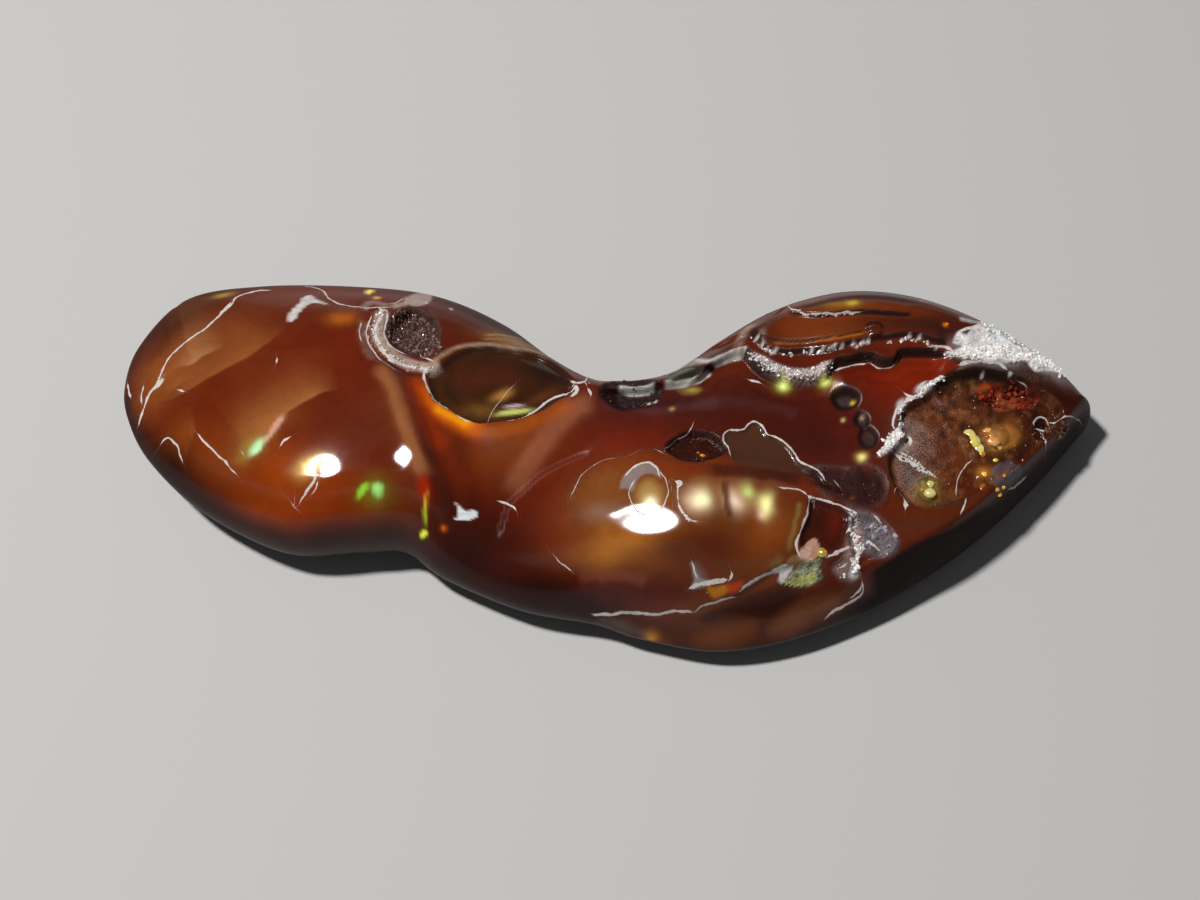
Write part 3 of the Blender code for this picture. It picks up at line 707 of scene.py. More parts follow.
# Places with a shape of their own: colour, softness of the edge, strength, roughness, grit and outline.
POOLS = {
    "eye": ("#3A1E0D", 0.10, 1.0, 0.09, 0.0, HOLLOWS["almond_eye"][-1]),
    "druse": ("#4A322A", 0.20, 1.0, 0.45, 1.0, HOLLOWS["druse_pit"][-1]),
    "notch": ("#1D0D0A", 0.25, 0.9, 0.60, 0.5, HOLLOWS["notch"][-1]),
    "olive_lens": ("#34301E", 0.08, 1.0, 0.06, 0.0, HOLLOWS["olive_lens"][-1]),
    "dark_pit": ("#34130C", 0.15, 1.0, 0.20, 0.5, HOLLOWS["dark_pit"][-1]),
    "cloud": ("#4C2D1E", 0.08, 1.0, 0.08, 0.0, HOLLOWS["cloud"][-1]),
    "pan": ("#562A12", 0.20, 1.0, 0.32, 0.45, HOLLOWS["pan"][-1]),
    "pan_brown": ("#451A0C", 0.50, 0.8, 0.08, 0.0, [
        (1000, 412), (1030, 405), (1060, 405), (1080, 415), (1070, 440), (1045, 462), (1020, 478),
        (1010, 450),
    ]),
    "pan_dark_back": ("#3A1A12", 0.35, 0.8, 0.10, 0.2, [
        (935, 392), (950, 378), (975, 370), (1005, 370), (1035, 378), (1060, 388), (1040, 396), (1000, 384),
        (965, 388), (945, 400),
    ]),
    "vug": ("#6E2210", 0.25, 0.9, 0.18, 0.35, HOLLOWS["vug"][-1]),
    "dark_rubble": ("#260500", 0.85, 0.95, 0.80, 0.60, [
        (805, 472), (828, 466), (850, 468), (868, 464), (884, 476), (886, 498), (868, 510), (845, 504),
        (822, 492),
    ]),
    "broken_patch": ("#6C6468", 0.45, 0.85, 0.25, 0.7, [
        (847, 510), (858, 511), (873, 514), (881, 522), (890, 531), (897, 538), (899, 546), (894, 553),
        (884, 557), (873, 557), (866, 553), (862, 544), (857, 535), (849, 529), (845, 518),
    ]),
    "dark_facet": ("#3A1008", 0.15, 0.95, 0.08, 0.0, HOLLOWS["dark_facet"][-1]),
    "ring_pit_back": ("#1C0A08", 0.25, 0.95, 0.65, 0.2, HOLLOWS["ring_pit_back"][-1]),
    "ring_pit_middle": ("#1C0A08", 0.25, 0.95, 0.65, 0.2, HOLLOWS["ring_pit_middle"][-1]),
    "ring_pit_front": ("#200C0A", 0.25, 0.95, 0.65, 0.2, HOLLOWS["ring_pit_front"][-1]),
    "white_crust": ("#C4BEBA", 0.12, 1.0, 0.50, 0.9, [
        (953, 343), (958, 331), (966, 334), (972, 328), (985, 322), (999, 326), (1018, 338), (1037, 349),
        (1052, 360), (1067, 376), (1056, 373), (1044, 372), (1034, 371), (1024, 362), (1010, 364),
        (996, 362), (982, 363), (968, 367), (957, 371), (963, 362), (952, 357), (944, 354), (956, 350),
        (963, 346),
    ]),
    "crust_blue": ("#DCE6F0", 0.3, 0.8, 0.4, 0.5, [
        (990, 328), (1006, 334), (1020, 344), (1010, 350), (996, 342),
    ]),
    "crust_gap_left": ("#2E1A12", 0.08, 0.85, 0.3, 0.6, [
        (969, 340), (977, 336), (985, 341), (981, 347), (973, 348),
    ]),
    "crust_gap_low": ("#3A2218", 0.08, 0.85, 0.3, 0.6, [
        (950, 359), (962, 356), (976, 358), (968, 362), (959, 363),
    ]),
    # Painted shadow: a thin dark line between the crust's top edge and the rest of it.
    "crust_shadow_line": ("#4A3A32", 0.06, 0.8, 0.4, 0.6, [
        (1003, 331), (1019, 342), (1037, 353), (1053, 364), (1050, 367), (1035, 357), (1017, 346),
        (1002, 334),
    ]),
    "druzy_band": ("#C0B2AC", 0.12, 0.9, 0.45, 1.0, [
        (744, 356), (755, 367), (768, 376), (785, 381), (803, 382), (818, 381), (829, 374), (835, 364),
        (824, 362), (812, 368), (795, 369), (778, 364), (764, 357), (752, 351),
    ]),
    "shelf": ("#4E220F", 0.25, 0.85, 0.07, 0.0, [
        (600, 620), (625, 617), (655, 619), (680, 615), (700, 614), (722, 605), (740, 600), (760, 590),
        (785, 582), (812, 588), (840, 582), (862, 585), (858, 600), (830, 618), (790, 636), (740, 648),
        (690, 648), (640, 636), (612, 628),
    ]),
    # Painted shade over the middle of the front shelf.
    "shelf_middle_shade": ("#2E1008", 0.50, 0.8, 0.07, 0.0, [
        (700, 618), (730, 604), (760, 594), (790, 588), (800, 600), (780, 615), (740, 622), (715, 626),
    ]),
    "shelf_amber_left": ("#7A3C12", 0.8, 0.7, 0.07, 0.0, [
        (640, 640), (655, 636), (668, 641), (662, 648), (645, 647),
    ]),
    "shelf_amber_middle": ("#7A3E14", 1.0, 0.7, 0.07, 0.0, [
        (695, 638), (712, 628), (738, 622), (756, 628), (742, 642), (715, 648),
    ]),
    "shelf_tan": ("#76482C", 0.8, 0.75, 0.07, 0.0, [
        (768, 632), (782, 616), (802, 604), (830, 598), (838, 604), (815, 620), (790, 634),
    ]),
    "shelf_grey_end": ("#5C4F48", 0.4, 0.7, 0.10, 0.0, [
        (598, 619), (620, 620), (640, 628), (650, 636), (630, 634), (610, 628),
    ]),
    "white_crescent": ("#D8D2CE", 0.10, 0.9, 0.30, 0.3, [
        (289, 322), (291, 312), (297, 304), (303, 298), (309, 295), (315, 299), (327, 305), (316, 303),
        (307, 305), (299, 312), (294, 319),
    ]),
    "pale_lump": ("#B59A90", 0.15, 0.95, 0.15, 0.2, [
        (403, 300), (410, 295), (420, 292), (430, 295), (431, 300), (424, 305), (412, 306),
    ]),
    "olive_rim_glow": ("#7C6530", 0.2, 0.7, 0.1, 0.1, [
        (676, 388), (690, 386), (702, 388), (696, 394), (682, 394),
    ]),
    "dome_white_wedge": ("#8E8680", 0.12, 0.75, 0.12, 0.0, [
        (620, 488), (624, 476), (631, 469), (640, 464), (650, 463), (657, 469), (662, 478), (653, 474),
        (643, 475), (636, 482), (632, 492), (626, 488),
    ]),
    "bracket_web": ("#A2A6A8", 0.12, 0.6, 0.12, 0.0, [
        (691, 562), (697, 572), (703, 579), (712, 581), (704, 587), (691, 589), (694, 580),
    ]),
    "bracket_grey": ("#6E5A50", 0.3, 0.6, 0.10, 0.0, [(694, 562), (698, 577), (707, 576), (700, 566)]),
    "amber_window": ("#B87010", 0.15, 0.9, 0.08, 0.0, [
        (707, 588), (716, 587), (726, 586), (730, 590), (724, 595), (715, 598), (710, 594),
    ]),
    "amber_window_red": ("#B43C0A", 0.18, 0.9, 0.08, 0.0, [
        (727, 585), (734, 583), (740, 581), (743, 584), (738, 590), (731, 593), (727, 590),
    ]),
    "flake_bronze": ("#8E6A44", 0.06, 0.9, 0.12, 0.2, [
        (788, 560), (798, 554), (802, 558), (800, 564), (789, 570),
    ]),
    "flake_rose": ("#C0907A", 0.05, 0.95, 0.12, 0.1, [
        (814, 538), (819, 543), (820, 551), (816, 558), (810, 562), (799, 558), (801, 549), (807, 543),
    ]),
    "flake_rose_light": ("#DCB8A8", 0.12, 0.7, 0.12, 0.0, [
        (801, 552), (807, 546), (812, 550), (808, 558), (801, 557),
    ]),
    "flake_green": ("#9A9C7C", 0.05, 0.95, 0.14, 1.4, [
        (803, 562), (812, 559), (821, 560), (820, 569), (823, 577), (818, 582), (807, 586), (794, 586),
        (781, 584), (786, 579), (794, 571),
    ]),
    "flake_lime": ("#B4B45C", 0.15, 0.75, 0.12, 0.8, [
        (787, 580), (798, 576), (812, 574), (818, 578), (808, 584), (792, 585),
    ]),
    "flake_white": ("#E0DCD8", 0.05, 0.95, 0.2, 0.2, [
        (770, 573), (781, 566), (794, 567), (789, 574), (783, 582), (778, 580), (779, 573),
    ]),
    "break_ember": ("#4E1A0C", 0.3, 0.9, 0.1, 0.0, [
        (824, 562), (842, 558), (848, 572), (840, 584), (824, 584),
    ]),
    "white_vein": ("#8C746C", 0.35, 0.8, 0.25, 0.6, [
        (849, 532), (857, 526), (864, 534), (866, 543), (864, 550), (858, 560), (858, 573), (852, 581),
        (846, 580), (840, 578), (834, 568), (843, 560), (844, 549),
    ]),
    "neck_chip": ("#E3E8E8", 0.05, 0.95, 0.2, 0.1, [
        (456, 504), (460, 506), (465, 511), (475, 510), (475, 518), (466, 520), (455, 519), (459, 513),
    ]),
    "pan_grey": ("#5E4A40", 0.40, 0.85, 0.45, 1.2, [
        (890, 450), (902, 447), (915, 455), (928, 464), (934, 474), (922, 477), (908, 468), (896, 460),
    ]),
    "crust_foot": ("#3E2414", 0.30, 0.85, 0.5, 0.9, [
        (985, 364), (1000, 365), (1012, 365), (1024, 364), (1036, 373), (1050, 376), (1045, 384),
        (1030, 381), (1010, 375), (990, 371),
    ]),
    "pan_pink": ("#602C10", 0.6, 0.6, 0.32, 0.45, [
        (905, 405), (925, 398), (945, 402), (952, 420), (948, 445), (930, 456), (910, 446),
    ]),
    "pan_tan": ("#6A2E0E", 0.6, 0.7, 0.32, 0.45, [
        (935, 455), (960, 450), (975, 470), (965, 490), (945, 498), (925, 490),
    ]),
    "pan_green_back": ("#3C2814", 0.4, 0.85, 0.12, 0.2, [
        (962, 364), (985, 361), (1005, 368), (1010, 378), (990, 384), (965, 384), (950, 388), (940, 384),
    ]),
    "pan_lobe": ("#56200E", 0.3, 0.9, 0.10, 0.0, [
        (973, 461), (964, 468), (958, 482), (957, 495), (965, 500), (980, 492), (990, 482), (990, 468),
    ]),
    # Painted shade along the pan's front foot.
    "pan_foot_shade": ("#5C2408", 0.4, 0.7, 0.1, 0.1, [
        (890, 490), (920, 505), (955, 508), (990, 492), (970, 512), (930, 522), (900, 515),
    ]),
    "pan_facet": ("#544C50", 0.12, 0.9, 0.20, 0.3, [
        (991, 470), (998, 463), (1010, 460), (1020, 465), (1021, 478), (1010, 489), (998, 492), (992, 484),
    ]),
    "pan_glow": ("#9A6428", 0.3, 0.9, 0.08, 0.0, [
        (984, 430), (996, 425), (1010, 427), (1020, 435), (1012, 447), (995, 450), (985, 442),
    ]),
    "vug_ember": ("#A8380F", 0.2, 0.9, 0.12, 0.2, [
        (977, 390), (984, 384), (991, 388), (990, 398), (981, 400),
    ]),
    "vug_ember_right": ("#9A4022", 0.2, 0.9, 0.14, 0.3, [
        (994, 392), (1003, 388), (1012, 395), (1020, 402), (1010, 410), (998, 412), (993, 402),
    ]),
    "crust_shade": ("#3A2214", 0.25, 0.8, 0.2, 0.4, [
        (960, 366), (985, 361), (1010, 363), (1030, 372), (1010, 374), (980, 371),
    ]),
}
for colour, soft, strength, rough, grain, view_points in POOLS.values():
    shape = strength * smooth_step(within(view_points) / soft + 0.5)
    lay(colour, shape)
    bring(roughness, rough, shape)
    bring(grit, grain, shape)

# The pan's floor is mottled, with tan lumps of about 0.35 mm and dark ones of about 0.5 mm.
in_pan = smooth_step(within(HOLLOWS["pan"][-1]) / 0.3)
lay("#84502E", 0.50 * in_pan * smooth_step(2.2 * mottle(0.35, 11, 3)))
lay("#200E08", 0.60 * in_pan * smooth_step(2.2 * mottle(0.50, 12, 3)))

# What shows through the clear chalcedony of the pools, and small marks beside them: the same columns as the
# broad washes.
TOUCHES = {
    "eye_brown": ("#4D2211", (490, 378), 2.2, 0.9, 0, 1, 0.75),
    "eye_olive": ("#341E12", (452, 392), 0.8, 0.5, -30, 1, 0.6),
    "eye_dark_right": ("#211312", (545, 374), 1.2, 0.6, -20, 1, 0.8),
    # Painted shadow under the eye's back rim.
    "eye_shadow_under_rim": ("#341B0B", (500, 352), 1.6, 0.25, 0, 1, 0.7),
    # Painted sheen: gold reflections on the lower part of the eye's floor.
    "eye_gold_floor_sheen": ("#694516", (482, 411), 1.1, 0.35, -6, 1, 0.8),
    "eye_gold_sheen": ("#CB8A40", (502, 395), 0.55, 0.26, 25, 1, 0.8),
    "eye_tan_right": ("#653519", (540, 398), 0.9, 0.25, 28, 1, 0.7),
    "druse_dark": ("#5A423C", (408, 330), 0.8, 0.7, 0, 1, 0.7),
    "lens_dark": ("#1F1D14", (690, 374), 0.5, 0.2, 0, 1, 0.7),
    "pit_red": ("#6A1D10", (672, 436), 0.5, 0.12, 35, 1, 0.8),
    "pit_red_foot": ("#7A2010", (690, 466), 0.12, 0.25, 0, 1, 0.8),
    "pit_ember": ("#7A3A10", (703, 455), 0.22, 0.10, 0, 1, 0.9),
    "pit_ember_left": ("#8C3A14", (672, 456), 0.30, 0.10, 0, 1, 0.7),
    "rubble_red": ("#5D0B01", (868, 468), 0.35, 0.25, 0, 1, 0.8),
    "rubble_ember": ("#571D01", (842, 476), 0.12, 0.10, 0, 1, 0.8),
    "rubble_ember_foot": ("#723C08", (852, 498), 0.12, 0.08, 0, 1, 0.8),
    "facet_dark": ("#40190A", (815, 515), 0.35, 0.8, -10, 1, 0.7),
    "facet_ember": ("#8D2C0F", (836, 522), 0.4, 0.7, 0, 1, 0.35),
    "glow_red": ("#5A1A12", (845, 432), 1.0, 0.5, 0, 1, 0.5),
    "break_window": ("#87361A", (858, 539), 0.22, 0.24, 0, 2, 0.9),
    "rim_white_back": ("#DCD6D2", (925, 387), 0.55, 0.22, 25, 2, 0.85),
    "rim_white_corner": ("#DCD6D2", (902, 404), 0.35, 0.25, 60, 2, 0.8),
    "rim_white_left": ("#DFDAD6", (898, 438), 0.55, 0.38, 30, 2, 0.9),
    "rim_white_front": ("#D5CDC8", (886, 449), 0.45, 0.16, 42, 2, 0.85),
    "crust_white_left": ("#F4F2F0", (988, 352), 1.25, 0.42, -6, 1, 0.9),
    "crust_white_back": ("#EAE7E4", (990, 336), 1.2, 0.28, 14, 1, 0.7),
    "crust_white_right": ("#F0EEEC", (1036, 356), 1.3, 0.42, -36, 1, 0.9),
    "caterpillar_bed": ("#753E13", (965, 446), 0.60, 0.28, -58, 1, 0.85),
    "pan_dull": ("#8A7268", (905, 438), 0.7, 1.0, 0, 1, 0.55),
    "break_blob": ("#E8E2DC", (854, 573), 0.24, 0.24, 0, 2, 0.9),
    "tip_hole": ("#1A0A06", (1041, 424), 0.26, 0.30, 0, 2, 0.9),
    # Painted glint: a white spark at the edge of the tip.
    "tip_painted_glint": ("#D8D4D0", (1081, 392), 0.22, 0.45, 20, 2, 0.9),
    # Specks of dust beside the dome's top, with a painted haze of its highlight over them.
    "dome_specks_and_sheen": ("#8E8070", (603, 512), 1.1, 0.5, 0, 1, 0.35),
}
for touch in TOUCHES.values():
    wash(*touch)

# Steep faces inside the outline, which the wheel could only dull. Those of the terraces, which lie right of
# and behind TERRACES_FROM, get painted shade. A face counts as steep from about 30 degrees on.
STEEP = 0.86
TERRACES_FROM = (2.0, 2.6)
slopes = facing_of(np.stack([X, Y, Z], axis=-1))
level = np.abs(slopes[..., 2]) / np.linalg.norm(slopes, axis=-1)
steep = smooth_step((STEEP - level) / 0.12) * smooth_step((edge_gap - 1.2) / 0.6)
bring(roughness, 0.70, steep)
# Painted shade on the walls of the terraces.
lay("#200D08", 0.9 * steep * smooth_step(Y - TERRACES_FROM[1]) * smooth_step(X - TERRACES_FROM[0]))

# Rims of white chalcedony, too wide to be cracks: colour, half width, how far it fades, strength and line.
RIMS = {
    "pit_rim": ("#B8A090", 0.26, 0.08, 0.85, [
        (384, 310), (379, 318), (377, 330), (381, 342), (390, 353), (402, 361), (416, 366), (430, 368),
        (442, 363),
    ]),
    "pit_rim_patch": ("#A5887A", 0.10, 0.10, 0.75, [(364, 312), (366, 305), (376, 303), (390, 306)]),
    "pit_rim_left": ("#8E6A58", 0.14, 0.12, 0.6, [(365, 320), (363, 334), (367, 348), (376, 360)]),
    "pit_to_lump": ("#C0A79C", 0.10, 0.10, 0.8, [(390, 308), (398, 305), (408, 302)]),
    "eye_rim_back": ("#A4866C", 0.06, 0.08, 0.85, [
        (430, 366), (438, 358), (450, 350), (465, 345), (482, 344), (500, 345), (520, 348), (540, 353),
        (558, 361), (570, 370),
    ]),
    "lens_rim_front": ("#DAD4CE", 0.06, 0.05, 0.95, [
        (663, 383), (675, 385), (688, 384), (698, 381), (703, 377), (712, 373),
    ]),
    "lens_rim_back": ("#B9B0A8", 0.05, 0.06, 0.85, [
        (664, 374), (672, 369), (682, 366), (695, 363), (710, 363),
    ]),
    "terrace_white": ("#D9D0CA", 0.07, 0.08, 0.9, [
        (690, 362), (708, 361), (722, 359), (734, 356), (744, 353),
    ]),
    "notch_white": ("#D8D2CC", 0.08, 0.08, 0.9, [(617, 387), (628, 390), (637, 391), (646, 388), (656, 384)]),
    "crust_edge": ("#D6D0CC", 0.06, 0.10, 0.8, [
        (958, 318), (975, 322), (995, 327), (1015, 338), (1035, 351), (1055, 366),
    ]),
}
for colour, half, fade, strength, line in RIMS.values():
    shape = strength * stripe(line, half, fade, 1.5, 0.06, 0.25)
    lay(colour, shape * (0.85 + 0.3 * mottle(0.25, 6, 2)))
    bring(roughness, 0.22, 0.7 * shape)

# Fire: painted reflections, some with painted halos, where a thin film of iron oxide in the layers
# throws back the light in one colour. Each also gets a painted glow. The same columns again.
PAINTED_FIRE = {
    "green_on_lobe": ("#BFFEC7", (257, 447), 0.50, 0.27, 52, 2, 0.95),
    "green_on_lobe_halo": ("#8C8A3C", (252, 448), 0.85, 0.5, 40, 1, 0.55),
    "yellow_at_glint": ("#E9C870", (310, 466), 0.75, 0.5, 20, 1, 0.7),
    "green_wedge": ("#8FD838", (362, 490), 0.42, 0.18, 50, 2, 0.95),
    "green_round": ("#A9F58A", (377, 490), 0.30, 0.30, 0, 2, 0.95),
    "green_round_halo": ("#6A8A20", (374, 492), 0.8, 0.6, 0, 1, 0.45),
    "streak_green": ("#9CB02A", (425, 512), 0.50, 0.12, 85, 2, 0.85),
    "streak_gold": ("#C88A20", (426, 500), 0.5, 0.09, 85, 2, 0.7),
    "streak_foot": ("#E4EE40", (424, 534), 0.20, 0.14, 0, 2, 0.95),
    "orange_spark": ("#D86018", (444, 528), 0.14, 0.14, 0, 1, 0.8),
    "back_yellow": ("#F1DC60", (369, 292), 0.22, 0.30, 0, 2, 0.95),
    "back_orange": ("#E39A3A", (377, 298), 0.22, 0.16, 0, 2, 0.8),
    "back_gold_left": ("#A98E3E", (222, 295), 0.60, 0.20, 8, 1, 0.7),
    "eye_lime": ("#C9D070", (515, 412), 0.95, 0.16, 8, 2, 0.85),
    "eye_rose": ("#D8B8C0", (514, 406), 0.55, 0.10, 6, 2, 0.8),
    "dome_disc": ("#A8844A", (650, 494), 0.66, 0.74, 0, 1.5, 0.85),
    "dome_disc_core": ("#FFF4C8", (651, 502), 0.34, 0.32, 0, 1, 0.95),
    "dome_spot": ("#9C7A44", (701, 499), 0.92, 0.94, 0, 1.5, 0.90),
    "dome_spot_rose": ("#E4C4AA", (697, 501), 0.58, 0.60, 0, 1, 0.85),
    "dome_spot_core": ("#F6FABC", (701, 499), 0.40, 0.40, 0, 1, 1.0),
    "dome_band": ("#A07A50", (741, 499), 1.00, 0.90, 0, 1.5, 0.75),
    "dome_band_rose": ("#E8CCB4", (733, 501), 0.44, 0.56, 10, 1, 0.85),
    "dome_band_lime": ("#C4D47A", (748, 491), 0.34, 0.42, 0, 1, 0.80),
    "dome_band_right": ("#F6EE9C", (766, 504), 0.38, 0.64, -10, 1, 1.0),
    "dome_band_right_rose": ("#F0C4AC", (761, 514), 0.20, 0.28, 0, 1, 0.70),
    "gold_under_terrace_left_halo": ("#A08A34", (783, 385), 0.50, 0.36, 0, 1, 0.6),
    "gold_under_terrace_left": ("#DCF08A", (783, 386), 0.26, 0.22, 0, 1, 1.0),
    "gold_under_terrace_right_halo": ("#A0842C", (826, 382), 0.50, 0.36, 0, 1, 0.6),
    "gold_under_terrace_right": ("#DCEC80", (825, 382), 0.24, 0.20, 0, 1, 1.0),
    "gold_at_back": ("#D2B440", (852, 303), 0.30, 0.22, 0, 1, 0.8),
    "gold_at_olive": ("#B8A040", (692, 390), 0.30, 0.12, 0, 1, 0.7),
    "gold_at_haze": ("#B59A4C", (672, 409), 0.14, 0.10, 0, 1, 0.8),
    "gold_in_pan_halo": ("#8A7C38", (928, 488), 0.62, 0.60, 0, 1, 0.7),
    "gold_by_facet_halo": ("#B87830", (984, 474), 0.42, 0.40, 0, 1, 0.7),
    "gold_ball_halo": ("#6A4A1A", (822, 553), 0.40, 0.38, 0, 1, 0.6),
    "amber_glow": ("#A06428", (1010, 432), 0.70, 0.72, 0, 1.5, 0.55),
    "amber_glow_left": ("#D09850", (992, 437), 0.50, 0.45, -30, 1, 0.6),
    "gold_by_rubble": ("#F0DC80", (862, 457), 0.26, 0.20, 0, 1, 0.95),
    "gold_in_plum": ("#D9C070", (843, 420), 0.10, 0.10, 0, 1, 0.95),
    "ring_gold": ("#D8B038", (853, 403), 0.12, 0.10, 0, 1, 0.95),
    "ring_gold_low": ("#A88A6C", (862, 418), 0.12, 0.12, 0, 1, 0.8),
    "terrace_orange_dot": ("#E07818", (945, 325), 0.12, 0.12, 0, 1, 0.9),
    "shelf_gold": ("#C98A30", (650, 641), 0.35, 0.25, 0, 1, 0.6),
}
for film in PAINTED_FIRE.values():
    mask = wash(*film)
    bring(painted_glow, 1.0, mask)

# A dark line, crisp on one side, parts the dome's round spot from the band beside it.
PARTING = [(723, 478), (722, 487), (724, 503), (727, 520)]
off, end = beside(PARTING, 2.0)
parting = smooth_step(off / 0.06 + 0.5) * smooth_step((0.5 - off) / 0.3)
lay("#5C3018", 0.9 * parting * smooth_step(end / 0.3))
